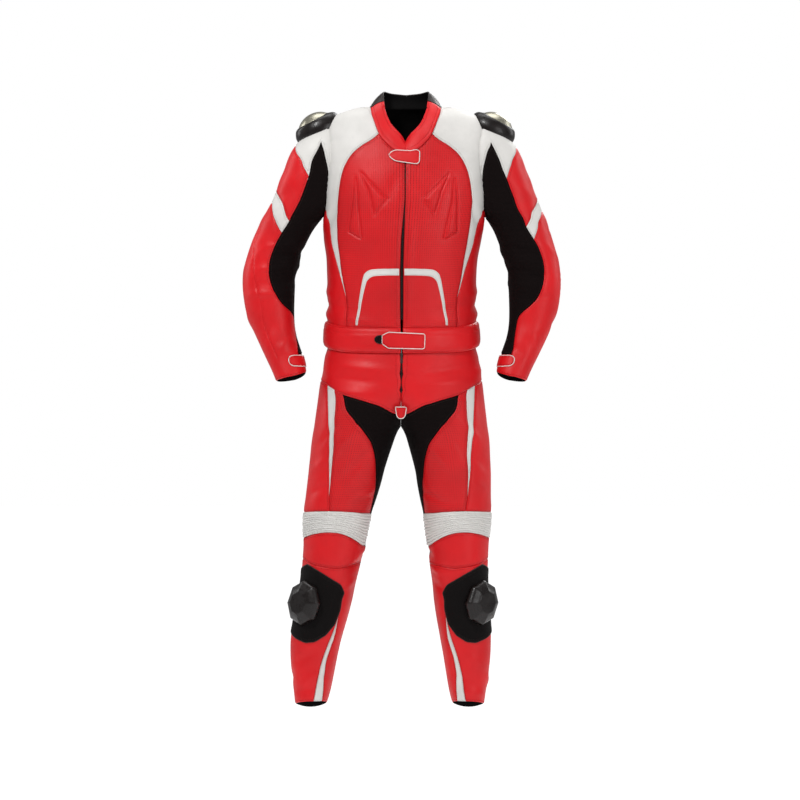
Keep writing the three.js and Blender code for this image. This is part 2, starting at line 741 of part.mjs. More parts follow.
function shoulderInsert() {
  const grown = SHOULDER.reach.clone().addScalar(TRIM_GAP);
  return dome(SHOULDER.insertCentre, SHOULDER.insertReach, SHOULDER.turn)
    .subtract(dome(SHOULDER.centre, grown, SHOULDER.turn));
}

// Trouser seams, as seen from the front, and angles where the side or the back hides them

const V_SEAM = [[-6, -702], [22, -693], [82, -667], [137, -650], [156, -639], [174, -628], [188, -619]];
const V_BLACK = 3;
const V_STRIPE = 4;
const V_OUTER = 5;
const TROUSER_TOP = -506;
const V_SIDE = -616;         // height of the V seam at the side
const SIDE = 97;
const INNER = -92;
const BLACK_THIGH = [
  [137, -667], [129, -684], [111, -708], [86, -738], [67, -766], [58, -796], [54.5, -827], [54, -865],
  [57, -893],
];
const BLACK_THIGH_END = [63, -929];
const STRIPE_IN = [[155, -682], [157, -766], [161, -837]];
const STRIPE_OUT = [[173, -667], [169, -752], [166, -830]];
const STRIPE_TIP = [163, -889];
const BAND_CORNER = [160, -923];
const KNEE_TOP = [[100, -926]];
const KNEE_BOTTOM = [[216, -985], [185, -975], [152, -973], [120, -979], [94, -992], [79, -1003]];
const KNEE_LOW = [[216, -1036], [198, -1047], [161, -1055], [130, -1057], [88, -1048]];
const BLACK_LOW = [[INNER, -932], [INNER, -1005], [INNER, -1046], [-92, -1090], [-100, -1170]];
const BLACK_BACK_LOW = [[-125, -1090], [-130, -1000], [-130, -930], [-128, -860]];
const BLACK_BACK_HIGH = [[60, -780], [40, -720], [-6, -692]];
const BAND_SIDE_TOP = -926;    // the knee band and the knee panel at the side seam
const BAND_SIDE_FOOT = -985;
const KNEE_SIDE_FOOT = -1036;
const KNEE_BACK = -1000;
const SHIN_IN = [[132, -1220], [148, -1270], [154, -1310], [158, -1369]];
const SHIN_OUT = [[178, -1369], [168, -1310], [157, -1267], [138, -1215]];
const SHIN_TIP = [125, -1172];
const HEM = table("angle z", [[-100, -1372], [0, -1369], [SIDE, -1377], [180, -1386], [260, -1376]]);
const RIBS = 6;
const RIB_HEIGHT = 2.4;
const RIBS_TOP = -924;
const RIBS_BOTTOM = -1003;
const FLY_SLIT = [
  [0, -550], [2.2, -580], [3.7, -602], [3, -640], [0, -680], [-3, -640], [-3.7, -602], [-2.2, -580],
];
const FLY_ZIP = [-560, -582, -605, -629, -653, -670];
const FLY_ZIP_HALF = 8;
const PATCH = [
  [204, -1048], [160, -1074], [124.5, -1096], [116, -1114], [121, -1130], [123, -1154], [134, -1188],
  [153, -1213], [178, -1229], [200, -1231], [220, -1222],
];
const PATCH_SIDE = [[100, -1200], [118, -1165], [118, -1100], [95, -1062]];
const PATCH_WALL = 1.6;
const CROTCH_TAB = [[-13, -679], [13, -679], [10, -700], [5, -706], [-5, -706], [-10, -700]];

const vSeam = seen(leg, V_SEAM);
const blackThigh = [...seen(leg, BLACK_THIGH), front(leg, ...BLACK_THIGH_END)];
const kneeBottom = seen(leg, KNEE_BOTTOM);
const kneeLow = seen(leg, KNEE_LOW);
const hem = HEM.map(({ angle, z }) => [angle, z]);

function onLeg(outline, options) {
  return panel(leg, outline, options);
}

function frontPrism(outline, depth) {
  return flatPrism(outline, -depth, depth).rotate([90, 0, 0]);
}

function pelvis() {
  const outline = [
    front(leg, -6, TROUSER_TOP), front(leg, -6, -580), front(leg, -6, -640), ...vSeam, [SIDE, V_SIDE],
    [SIDE, TROUSER_TOP],
  ];
  const slit = frontPrism(FLY_SLIT, 200).intersect(block(-20, 20, -200, -20, -700, -500));
  return onLeg(outline).intersect(besideMiddle).subtract(slit);
}

function thighFront() {
  return onLeg([
    vSeam[V_BLACK], vSeam[V_STRIPE], ...seen(leg, STRIPE_IN), front(leg, ...STRIPE_TIP),
    front(leg, ...BAND_CORNER), ...seen(leg, KNEE_TOP), ...blackThigh.slice().reverse(),
  ]);
}

function thighStripe() {
  return onLeg([
    vSeam[V_STRIPE], vSeam[V_OUTER], ...seen(leg, STRIPE_OUT), front(leg, ...STRIPE_TIP),
    ...seen(leg, STRIPE_IN).reverse(),
  ]);
}

function thighBack() {
  return onLeg([
    ...vSeam.slice(V_OUTER), [SIDE, V_SIDE], [SIDE, TROUSER_TOP], [140, TROUSER_TOP],
    behind(leg, -6, TROUSER_TOP), behind(leg, -6, -600), ...seenBehind(leg, BLACK_BACK_HIGH).reverse(),
    ...BLACK_BACK_LOW.slice(1).reverse().map(([angle, z]) => [angle + 360, z]),
    [SIDE, KNEE_BACK], [SIDE, BAND_SIDE_TOP], front(leg, ...BAND_CORNER), front(leg, ...STRIPE_TIP),
    ...seen(leg, STRIPE_OUT).reverse(),
  ]).intersect(besideMiddle);
}

function crotch() {
  return onLeg([
    ...vSeam.slice(0, V_BLACK + 1), ...blackThigh, ...BLACK_LOW, ...BLACK_BACK_LOW,
    ...seenBehind(leg, BLACK_BACK_HIGH).map(upTurn),
  ]).intersect(besideMiddle);
}

// The accordion band: ribs that run across the knee, sharp at the crest and at the bottom of each fold
function kneeBand() {
  const halfRib = (RIBS_TOP - RIBS_BOTTOM) / (2 * RIBS);
  const rows = Array.from({ length: 2 * RIBS + 1 }, (_, i) => RIBS_TOP - i * halfRib);
  const raise = (angle, z) => {
    const turns = (RIBS_TOP - z) / (2 * halfRib);
    const share = turns - Math.floor(turns);
    return turns < 0 || turns > RIBS ? 0 : RIB_HEIGHT * (1 - Math.abs(2 * share - 1));
  };
  return onLeg([
    front(leg, ...BLACK_THIGH_END), ...seen(leg, KNEE_TOP).reverse(), front(leg, ...BAND_CORNER),
    [SIDE, BAND_SIDE_TOP], [SIDE, BAND_SIDE_FOOT], ...kneeBottom, [INNER, -1005], [INNER, -932],
  ], { raise, extraRows: rows });
}

function kneePanel() {
  return onLeg([
    ...kneeBottom.slice().reverse(), [SIDE, BAND_SIDE_FOOT], [SIDE, KNEE_SIDE_FOOT], ...kneeLow,
    [INNER, -1046], [INNER, -1005],
  ]);
}

function shin() {
  return onLeg([
    ...kneeLow.slice().reverse(), [SIDE, KNEE_SIDE_FOOT], hem[2], ...seen(leg, SHIN_OUT),
    front(leg, ...SHIN_TIP),
    ...seen(leg, SHIN_IN), hem[0], [-100, -1170], [-92, -1090], [INNER, -1046],
  ], { seam: FINE_SEAM });
}

function shinStripe() {
  const outline = [
    front(leg, ...SHIN_TIP), ...seen(leg, SHIN_OUT).reverse(), ...seen(leg, SHIN_IN).reverse(),
  ];
  return onLeg(outline, { seam: FINE_SEAM });
}

function calf() {
  return onLeg([
    [SIDE, KNEE_BACK], ...BLACK_BACK_LOW.slice(0, 2).reverse().map(([angle, z]) => [angle + 360, z]),
    [260, -1170], hem[4], hem[3], hem[2],
  ]);
}

function kneePatch() {
  return onLeg([...seen(leg, PATCH), ...PATCH_SIDE], { low: TRIM_GAP, high: TRIM_GAP + PATCH_WALL });
}

const KNEE_SLIDER = { angle: 46, z: -1138, reach: new THREE.Vector3(44, 50, 25) };

function kneeSlider() {
  const foot = onTube(leg, KNEE_SLIDER.angle, KNEE_SLIDER.z, 0);
  const away = onTube(leg, KNEE_SLIDER.angle, KNEE_SLIDER.z, 10).sub(foot).normalize();
  const turn = new THREE.Quaternion().setFromRotationMatrix(
    new THREE.Matrix4().lookAt(away, new THREE.Vector3(), new THREE.Vector3(0, 0, 1)),
  );
  return dome(foot, KNEE_SLIDER.reach, turn).subtract(filled(leg, 2 * TRIM_GAP + PATCH_WALL));
}

// A flat strip behind the fly's slit
function flyZip() {
  const profile = FLY_ZIP.map((z) => [onTube(leg, front(leg, 0.2, z)[0], z, 0).y, z]);
  const near = WALL + 2 * TRIM_GAP;
  const outline = [
    ...profile.map(([y, z]) => [y + near, z]), ...profile.reverse().map(([y, z]) => [y + near + ZIP_WALL, z]),
  ];
  return flatPrism(outline, -FLY_ZIP_HALF, FLY_ZIP_HALF).rotate([90, 0, 0]).rotate([0, 0, 90]);
}

// The tab at the foot of the fly lies on both trouser halves
function crotchTab() {
  const [wide, top] = CROTCH_TAB[1];
  const [narrow, foot] = CROTCH_TAB[3];
  const high = onTube(leg, front(leg, wide, top)[0], top, 0).y;
  const low = onTube(leg, front(leg, narrow, foot)[0], foot, 0).y;
  const tilt = Math.atan2(low - high, top - foot) / DEG;
  const plate = flatPrism(CROTCH_TAB.map(([x, z]) => [x, z - top]), 0, 3).rotate([90 + tilt, 0, 0]);
  return plate.translate([0, high, top]).subtract(legBody).subtract(legBody.mirror([1, 0, 0]));
}

placePair("chest", chest(), "red");
placePair("arch_stripe", archStripe(), "white");
placePair("shoulder_yoke", yoke(), "white");
placePair("jacket_side", side(), "red");
place("jacket_back", back(), "red");
place("jacket_zip", zip(), "black");
place("waistband", waistband(), "red");
place("neck_strap", strap(torso, NECK_STRAP, TRIM_GAP, APPLIED), "red");
place("belt_strap", strap(torso, BELT_STRAP, BELT_OUT, APPLIED), "red");
place("belt_tab", strap(torso, BELT_TAB, BELT_OUT, APPLIED / 2), "black");
placePair("collar_red", collarRed(), "red");
place("collar_black", collarBlack(), "black");
placePair("sleeve_cap", cap(), "white");
placePair("sleeve_upper", upperSleeve(), "red");
placePair("sleeve_stripe", sleeveStripe(), "white");
placePair("sleeve_forearm", forearm(), "red");
placePair("sleeve_inner", blackSleeve(), "black");
placePair("cuff_strap", cuffStrap(), "red");
placePair("shoulder_slider", shoulderSlider(), "rubber");
placePair("shoulder_insert", shoulderInsert(), "metal");
placePair("pelvis", pelvis(), "red");
placePair("thigh_front", thighFront(), "red");
placePair("thigh_stripe", thighStripe(), "white");
placePair("thigh_back", thighBack(), "red");
placePair("crotch", crotch(), "black");
placePair("knee_band", kneeBand(), "white");
placePair("knee_panel", kneePanel(), "red");
placePair("shin", shin(), "red");
placePair("shin_stripe", shinStripe(), "white");
placePair("calf", calf(), "red");
placePair("knee_patch", kneePatch(), "black");
placePair("knee_slider", kneeSlider(), "rubber");
place("fly_zip", flyZip(), "black");
place("crotch_tab", crotchTab(), "red");

export default suit;
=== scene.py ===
import math

import bpy
import numpy as np
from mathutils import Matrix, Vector
from mathutils.geometry import delaunay_2d_cdt


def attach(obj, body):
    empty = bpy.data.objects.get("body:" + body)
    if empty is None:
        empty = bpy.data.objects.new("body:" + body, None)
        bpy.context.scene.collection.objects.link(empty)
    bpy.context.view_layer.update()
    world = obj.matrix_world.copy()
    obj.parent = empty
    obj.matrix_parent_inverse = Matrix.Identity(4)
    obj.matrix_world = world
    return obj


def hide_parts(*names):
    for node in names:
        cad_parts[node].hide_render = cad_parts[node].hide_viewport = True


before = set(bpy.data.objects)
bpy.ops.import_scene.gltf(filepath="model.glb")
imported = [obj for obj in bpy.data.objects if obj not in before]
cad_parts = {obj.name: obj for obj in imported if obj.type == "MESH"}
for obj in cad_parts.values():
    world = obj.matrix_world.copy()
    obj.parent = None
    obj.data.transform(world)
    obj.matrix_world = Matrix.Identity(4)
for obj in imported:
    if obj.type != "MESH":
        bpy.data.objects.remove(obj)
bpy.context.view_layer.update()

# Sizes are in millimetres until a mesh is made. +Z is up, the front faces -Y and the wearer's left is +X.
MM = 0.001
SHARPNESS = 2.3           # power of the section curve, 2 being an ellipse
SEAM = 0.15               # half the gap between two panels
SEAM_DROP = 2.1           # how far a panel's edge is drawn in at a seam
SEAM_SOFTNESS = 2.4       # how far from the seam that shows
PANEL_IN = -3.2           # inner face of the panels
GRID = 6.5                # spacing of the points inside a panel
EDGE_STEP = 4.5           # spacing of the points along its edge
ROW_RISE = 0.866          # height of a row of points in the panel, as a share of the spacing
EDGE_ROWS = (0.9, 2.3, 4.4)
EDGE_SHARE = 0.93         # least share of its row's distance that a point beside the edge keeps
EDGE_FREE = 0.42          # share of the spacing that is free between those rows and the grid
MARK_ROWS = (0.0, 1.2, 2.6, 4.4)
MARK_STEP = 3.0           # spacing of the points along a mark or an inner seam
MARK_SHARE = 0.9          # least share of its row's distance that a point beside them keeps
MARK_FREE = 0.5
FENCE_FREE = 0.4
FENCE_CLEAR = 1.2         # how far other points stay from an inner seam
EDGE_CLEAR = 5.5          # how far the rows beside marks and inner seams stay from the edge
SAME_SPOT = 0.05          # points nearer to each other than this are one
NORMAL_STEP = 2           # degrees and millimetres to each side of a place, for its normal
TRIM_GAP = 0.3            # gap under a piece that is sewn on top
APPLIED = 1.5             # thickness of a piece that is sewn on top
STITCH_PITCH = 4.4        # from one stitch to the next
STITCH_LENGTH = 3.2
STITCH_RADIUS = 0.5
STITCH_REACH = 1.5        # how far to each side a stitch takes its direction from
STITCH_SHOULDER = 0.72    # where its full thickness ends, as a share of half its length
STITCH_SINK = 0.8         # how far its ends go down, as a share of its radius
STITCH_LIFT = 0.1
STITCH_ROW = 3.4          # distance of the sewing from the seam
SEWING_SHARE = 0.95       # least share of that distance that a stitch keeps
RUN_GAP = 3 * EDGE_STEP   # a longer gap than this ends a run of stitches
UNROLL_STEPS = 12
LEAST_SHARE = 0.302       # least share of the rectangle round it that a flat cut states
CREASE = 1.5              # how far the creases are stretched from their listed heights
PUCKER = 0.42             # height of the gathers beside a seam


def table(columns, rows):
    names = columns.split()
    return {name: np.array([row[i] for row in rows], float) for i, name in enumerate(names)}


# Sections of the torso, a sleeve and a leg at each height, and how far the worn suit leans sideways
TORSO = table("z half front back", [
    (32, 68, 30, 46), (28, 83, 36, 51), (24, 112, 41, 57), (19, 130, 45, 62), (14, 146, 50, 67),
    (5, 168, 57, 74), (-5, 184, 62, 81), (-19, 197, 68, 88), (-33, 206, 74, 94), (-52, 210, 81, 100),
    (-75, 208, 90, 106), (-110, 203, 101, 114), (-146, 200, 110, 120), (-193, 196, 117, 124),
    (-240, 190, 120, 123), (-287, 185, 121, 121), (-329, 178, 118.5, 116), (-371, 175.5, 115, 110),
    (-414, 174.5, 111, 104), (-452, 174.5, 109, 102), (-476, 174.5, 108.5, 102.5), (-491, 174.5, 109, 103),
    (-505, 175, 109.5, 104), (-522, 176, 110.5, 106), (-540, 177.5, 112, 109), (-556, 179.5, 114, 112),
])
SLEEVE = table("z x half depth y", [
    (-2, 165, 9, 7, 4), (-9.4, 168, 30, 26, 4), (-23.5, 178, 45, 40, 4), (-37.6, 184, 53, 48, 4),
    (-52, 189, 59, 55, 4), (-75, 197, 68, 62, 4), (-99, 205, 71.5, 66, 4), (-122, 211.5, 73, 68, 5),
    (-146, 220, 75, 68, 5), (-174, 229, 75, 68, 6), (-202, 238, 78, 68, 7), (-220, 248, 76.5, 67, 7),
    (-237, 263, 71, 66, 8), (-258, 275, 67, 65, 9), (-287, 288, 65, 64, 10), (-315, 298, 64, 64, 11),
    (-343, 306, 64, 62, 12), (-371, 311.5, 62.5, 62, 12), (-400, 312.5, 61.5, 61, 11),
    (-428, 311.5, 59.5, 60, 9), (-456, 309, 56.5, 57, 6), (-484, 303.5, 52, 54, 2), (-512, 295, 48, 51, -5),
    (-540, 284, 46, 48, -12), (-569, 272, 44, 45, -21), (-597, 262.5, 40, 42, -31),
    (-625, 254, 37, 39, -41),
])
LEG = table("z inner outer front back", [
    (-505, -171, 171, 106, 101), (-540, -174, 174, 109, 106), (-558, -175, 179.5, 112, 110),
    (-582, -165, 183.5, 115, 116), (-605, -152, 187.5, 118, 122), (-629, -130, 191.5, 119, 127),
    (-653, -98, 194.5, 119, 130), (-681, -56, 198, 117, 130), (-704, -24, 201, 115, 127),
    (-727, 1.5, 204, 112, 121), (-745, 11, 207, 109, 116), (-766, 18, 209.5, 105, 110),
    (-795, 27, 211.5, 101, 105), (-827, 36, 214, 97, 101), (-861, 43, 216, 93, 96), (-893, 51, 218, 90, 91),
    (-922, 59, 220.5, 88, 86), (-950, 64.5, 220.5, 87, 80), (-978, 69, 219, 86, 75),
    (-1006, 74.5, 217.5, 85, 71), (-1034, 79, 218, 84, 70), (-1062, 84, 218.5, 81, 73),
    (-1090, 89.5, 220, 78, 77), (-1133, 96, 226, 72, 80), (-1175, 104.5, 231, 66, 80),
    (-1217, 114.5, 235, 62, 76), (-1260, 123.5, 235, 58, 70), (-1302, 131, 231.5, 54, 63),
    (-1344, 139, 226, 51, 57), (-1392, 152, 220, 49, 53),
])
LEAN = table("z shift", [
    (60, 0), (-75, -2), (-193, -2), (-287, -8), (-357, -10), (-522, -10), (-752, -12.5), (-837, -15),
    (-921, -20), (-1006, -23.5), (-1090, -28), (-1175, -33), (-1231, -36), (-1400, -39),
])


def smooth_between(keys, values, where):
    """Values between the rows of a table, on a smooth curve through them."""
    order = np.argsort(keys)
    keys, values = keys[order], values[order]
    slopes = np.gradient(values, keys)
    row = np.clip(np.searchsorted(keys, where) - 1, 0, len(keys) - 2)
    step = keys[row + 1] - keys[row]
    t = np.clip((where - keys[row]) / step, 0, 1)
    low = (1 + 2 * t) * (1 - t) ** 2 * values[row] + t * (1 - t) ** 2 * step * slopes[row]
    high = t * t * (3 - 2 * t) * values[row + 1] + t * t * (t - 1) * step * slopes[row + 1]
    return low + high


def lean(z):
    order = np.argsort(LEAN["z"])
    return np.interp(z, LEAN["z"][order], LEAN["shift"][order])


def unit(vectors):
    return vectors / np.maximum(np.linalg.norm(vectors, axis=-1, keepdims=True), 1e-9)


class Tube:
    """A tube of level sections. flat is the mean length of one degree round it."""

    def __init__(self, rows, flat):
        self.rows = rows
        self.flat = flat

    def column(self, column, z):
        return smooth_between(self.rows["z"], self.rows[column], z)

    def section(self, z):
        if "inner" in self.rows:
            inner, outer = self.column("inner", z), self.column("outer", z)
            middle, half = (inner + outer) / 2, (outer - inner) / 2
        else:
            half = self.column("half", z)
            middle = self.column("x", z) if "x" in self.rows else 0 * half
        y = self.column("y", z) if "y" in self.rows else 0 * half
        if "depth" in self.rows:
            front = back = self.column("depth", z)
        else:
            front, back = self.column("front", z), self.column("back", z)
        return middle, y, half, front, back

    def point(self, angle, z):
        """0 degrees is the front, 90 the outer side, 180 the back and -90 the inner side."""
        middle, y, half, front, back = self.section(z)
        sine, cosine = np.sin(np.radians(angle)), np.cos(np.radians(angle))
        depth = np.where(cosine > 0, front, back)
        px = middle + half * np.sign(sine) * np.abs(sine) ** (2 / SHARPNESS)
        py = y - depth * np.sign(cosine) * np.abs(cosine) ** (2 / SHARPNESS)
        return np.stack([px, py, z + 0 * px], -1)

    def place(self, flat):
        """Points of the tube at flat places."""
        return self.point(flat[:, 0] / self.flat, flat[:, 1])

    def normal(self, angle, z):
        round_it = self.point(angle + NORMAL_STEP, z) - self.point(angle - NORMAL_STEP, z)
        along = self.point(angle, z + NORMAL_STEP) - self.point(angle, z - NORMAL_STEP)
        return unit(np.cross(round_it, along))

    def outside(self, points):
        """Below 0 inside the tube and above 0 outside it."""
        middle, y, half, front, back = self.section(points[:, 2])
        depth = np.where(points[:, 1] < y, front, back)
        across = np.abs(points[:, 0] - middle) / half
        deep = np.abs(points[:, 1] - y) / depth
        value = (across ** SHARPNESS + deep ** SHARPNESS) ** (1 / SHARPNESS) - 1
        past = (points[:, 2] > self.rows["z"].max()) | (points[:, 2] < self.rows["z"].min())
        return np.where(past, 1, value)

    def seen(self, points, behind=False):
        """Angles and heights of points that are given as x and z, as seen from the front, or from behind."""
        spots = []
        for x, z in points:
            middle, _, half, _, _ = self.section(np.array([float(z)]))
            across = max(-1, min(1, (x - middle[0]) / half[0]))
            angle = math.degrees(math.asin(abs(across) ** (SHARPNESS / 2))) * (1 if across > 0 else -1)
            spots.append((180 - angle if behind else angle, z))
        return spots


torso = Tube(TORSO, 2.6)
sleeve = Tube(SLEEVE, 1.15)
leg = Tube(LEG, 1.6)


class Line:
    """A seam line: a smooth curve through its points, of which a stretch between two of them can be taken."""

    STEPS = 6

    def __init__(self, points):
        p = np.array(points, float)
        self.dense = [tuple(p[0])]
        self.marks = [0]
        for i in range(len(p) - 1):
            before = p[i - 1] if i > 0 else 2 * p[0] - p[1]
            after = p[i + 2] if i + 2 < len(p) else 2 * p[-1] - p[-2]
            for k in range(1, self.STEPS + 1):
                t = k / self.STEPS
                spot = 0.5 * (2 * p[i] + (p[i + 1] - before) * t
                              + (2 * before - 5 * p[i] + 4 * p[i + 1] - after) * t * t
                              + (3 * p[i] - before - 3 * p[i + 1] + after) * t ** 3)
                self.dense.append(tuple(spot))
            self.marks.append(len(self.dense) - 1)

    def part(self, first=0, last=None):
        last = len(self.marks) - 1 if last is None else last
        low, high = sorted((self.marks[first], self.marks[last]))
        stretch = self.dense[low:high + 1]
        return stretch if first < last else stretch[::-1]

    def back(self):
        return self.dense[::-1]

    def spot(self, number):
        return self.dense[self.marks[number]]


# Flat geometry

def sides_of(loop):
    """Starts and ends of a closed loop's sides."""
    return loop, np.roll(loop, -1, 0)


def running_length(line):
    """How far along the line each of its points is."""
    return np.concatenate([[0], np.cumsum(np.linalg.norm(np.diff(line, axis=0), axis=1))])


def segment_distance(points, starts, ends):
    """Distance of each point from the nearest of the segments."""
    best = np.full(len(points), 1e9)
    along = ends - starts
    length2 = np.maximum((along ** 2).sum(1), 1e-12)
    for first in range(0, len(points), 800):
        block = points[first:first + 800]
        gap = block[:, None, :] - starts[None]
        t = np.clip((gap * along[None]).sum(2) / length2[None], 0, 1)
        d = np.linalg.norm(gap - t[..., None] * along[None], axis=2)
        best[first:first + 800] = d.min(1)
    return best


def is_inside(points, loop):
    inside = np.zeros(len(points), bool)
    x, y = points[:, 0], points[:, 1]
    for (x0, y0), (x1, y1) in zip(*sides_of(loop)):
        if y0 == y1:
            continue
        crosses = (y0 > y) != (y1 > y)
        inside ^= crosses & (x < (x1 - x0) * (y - y0) / (y1 - y0) + x0)
    return inside


def clean_loop(points):
    kept = [points[0]]
    for spot in points[1:]:
        if math.dist(spot, kept[-1]) > SAME_SPOT:
            kept.append(spot)
    if math.dist(kept[0], kept[-1]) <= SAME_SPOT:
        kept.pop()
    return np.array(kept, float)


def loop_area(loop):
    after = np.roll(loop, -1, 0)
    return 0.5 * float((loop[:, 0] * after[:, 1] - after[:, 0] * loop[:, 1]).sum())


def inward(loop):
    """Unit directions into the loop at its points, with the longer reach that a corner needs."""
    turn = 1 if loop_area(loop) > 0 else -1
    a = unit(loop - np.roll(loop, 1, 0))
    b = unit(np.roll(loop, -1, 0) - loop)
    side_a = np.stack([-a[:, 1], a[:, 0]], 1)
    middle = unit(side_a + np.stack([-b[:, 1], b[:, 0]], 1))
    reach = 1 / np.maximum(0.4, (middle * side_a).sum(1))
    return turn * middle * reach[:, None]


def resampled(loop, step):
    """The loop with points at most a step apart; its own points stay."""
    spots = []
    for a, b in zip(*sides_of(loop)):
        count = max(1, math.ceil(np.linalg.norm(b - a) / step))
        for k in range(count):
            spots.append(a + (b - a) * k / count)
    return np.array(spots)


def refined(line, step, closed=False):
    """The line with even points, a step apart."""
    line = np.asarray(line, float)
    if closed:
        line = np.concatenate([line, line[:1]])
    place = running_length(line)
    count = max(3, int(place[-1] / step))
    where = np.linspace(0, place[-1], count + 1)
    even = np.stack([np.interp(where, place, line[:, i]) for i in range(line.shape[1])], 1)
    return even[:-1] if closed else even


# Creases: soft troughs (below 0) and ridges (above 0) of the worn suit, each from one spot to another

def creases(rows):
    return table("angle0 z0 angle1 z1 height width", rows)


NO_CREASES = creases([(0, 0, 1, 1, 0, 1)])


def relief(tube, folds, flat):
    """Height of the creases at flat places."""
    total = np.zeros(len(flat))
    for i in range(len(folds["z0"])):
        start = np.array([folds["angle0"][i] * tube.flat, folds["z0"][i]])
        end = np.array([folds["angle1"][i] * tube.flat, folds["z1"][i]])
        for turn in (-360, 0, 360):
            a = start + (turn * tube.flat, 0)
            along = end - start
            t = ((flat - a) @ along) / max(float(along @ along), 1e-9)
            near = np.clip(t, 0, 1)
            d = np.linalg.norm(flat - a - near[:, None] * along, axis=1)
            taper = np.sqrt(np.clip(np.sin(np.pi * np.clip(near, 0.04, 0.96)), 0, 1))
            total += CREASE * folds["height"][i] * taper * np.exp(-(d / folds["width"][i]) ** 2)
    return total


def pucker(flat, distance):
    """Small gathers beside the sewing."""
    x, z = flat[:, 0], flat[:, 1]
    wave = np.sin(0.52 * x + 1.7 * np.sin(0.043 * z)) * np.sin(0.47 * z + 1.9 * np.sin(0.037 * x + 1.0))
    return PUCKER * wave * np.exp(-((distance - 5.0) / 4.5) ** 2)


# Meshes

def new_object(name, vertices, faces, materials, face_looks=None, flat=None, smooth=True):
    mesh = bpy.data.meshes.new(name)
    mesh.from_pydata((np.asarray(vertices, float) * MM).tolist(), [], [tuple(map(int, f)) for f in faces])
    for material in materials:
        mesh.materials.append(material)
    if face_looks is not None:
        mesh.polygons.foreach_set("material_index", np.array(face_looks, np.int32))
    mesh.polygons.foreach_set("use_smooth", np.full(len(mesh.polygons), smooth))
    if flat is not None:
        places = np.zeros((len(vertices), 3), np.float32)
        places[:, :2] = flat * MM
        mesh.attributes.new("flat", "FLOAT_VECTOR", "POINT").data.foreach_set("vector", places.ravel())
    mesh.update()
    obj = bpy.data.objects.new(name, mesh)
    bpy.context.scene.collection.objects.link(obj)
    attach(obj, "root")
    return obj


class Cut:
    """A flat cut of a panel: its points, triangles and edge, before it is bent round its tube."""

    def __init__(self, tube, outline, step=GRID, seam=SEAM, fences=(), keeps=None, flush=False, marks=()):
        """fences are seams inside the outline, flush ones without a groove. marks are closed lines that want
        close points."""
        self.tube = tube
        loop = clean_loop([(angle * tube.flat, z) for angle, z in outline])
        loop = loop + inward(loop) * seam
        self.loop = resampled(loop, EDGE_STEP)
        edge = sides_of(self.loop)
        direction = inward(self.loop)
        rows = [self.loop]
        for distance in EDGE_ROWS:
            row = self.loop + direction * distance
            away = segment_distance(row, *edge)
            rows.append(row[(away > EDGE_SHARE * distance) & is_inside(row, self.loop)])
        low, high = self.loop.min(0), self.loop.max(0)
        columns = np.arange(low[0], high[0], step)
        levels = np.arange(low[1], high[1], step * ROW_RISE)
        grid = np.array([(x + (step / 2 if r % 2 else 0), y) for r, y in enumerate(levels) for x in columns])
        grid = grid[is_inside(grid, self.loop)]
        grid = grid[segment_distance(grid, *edge) > EDGE_ROWS[-1] + EDGE_FREE * step]
        for mark in marks:
            grid = grid[segment_distance(grid, *sides_of(mark)) > MARK_ROWS[-1] + MARK_FREE * step]
        for mark in marks:
            line = resampled(mark, MARK_STEP)
            grid = self._with_rows(grid, line, inward(line), MARK_ROWS, sides_of(mark))
        for fence in fences:
            line = refined(fence, MARK_STEP)
            across = unit(np.gradient(line, axis=0)[:, ::-1] * (-1, 1))
            away = segment_distance(grid, fence[:-1], fence[1:])
            grid = grid[away > MARK_ROWS[-1] + FENCE_FREE * step]
            grid = self._with_rows(grid, line, across, MARK_ROWS[1:], (fence[:-1], fence[1:]))
        spots = np.concatenate(rows + [grid])
        count = len(self.loop)
        edges = []
        for fence in fences:
            keep = segment_distance(spots, fence[:-1], fence[1:]) > FENCE_CLEAR
            keep[:count] = True
            spots = spots[keep]
        for fence in fences:
            first = len(spots)
            spots = np.concatenate([spots, fence])
            edges += [(first + i, first + i + 1) for i in range(len(fence) - 1)]
        found = delaunay_2d_cdt([Vector(p) for p in spots.tolist()], edges, [list(range(count))], 1, 1e-5)
        self.spots = np.array([tuple(v) for v in found[0]])
        self.faces = np.array([f for f in found[2] if len(f) == 3], int)
        if keeps is not None:
            self.faces = self.faces[keeps(self.spots[self.faces].mean(1))]
        self._tidy()
        self.edge_distance = segment_distance(self.spots, *edge)
        for fence in () if flush else fences:
            to_fence = segment_distance(self.spots, fence[:-1], fence[1:])
            self.edge_distance = np.minimum(self.edge_distance, to_fence)

    def _with_rows(self, grid, line, across, distances, away_from):
        """The grid with rows of points on both sides of a line."""
        for distance in distances:
            for way in (-1, 1) if distance else (1,):
                row = line + across * distance * way
                apart = segment_distance(row, *away_from) > MARK_SHARE * distance
                row = row[apart & is_inside(row, self.loop)]
                clear = segment_distance(row, *sides_of(self.loop)) > EDGE_CLEAR
                grid = np.concatenate([grid, row[clear]])
        return grid

    def _tidy(self):
        """Drops unused points and turns all faces the same way."""
        p = self.spots[self.faces]
        area = np.cross(p[:, 1] - p[:, 0], p[:, 2] - p[:, 0])
        self.faces = self.faces[np.abs(area) > 1e-6]
        area = area[np.abs(area) > 1e-6]
        self.faces[area < 0] = self.faces[area < 0][:, ::-1]
        used, index = np.unique(self.faces, return_inverse=True)
        self.spots = self.spots[used]
        self.faces = index.reshape(-1, 3)

    def rim(self):
        """Edges that only one face has."""
        edges = np.concatenate([self.faces[:, [0, 1]], self.faces[:, [1, 2]], self.faces[:, [2, 0]]])
        have = {(int(a), int(b)) for a, b in edges}
        return [(a, b) for a, b in have if (b, a) not in have]


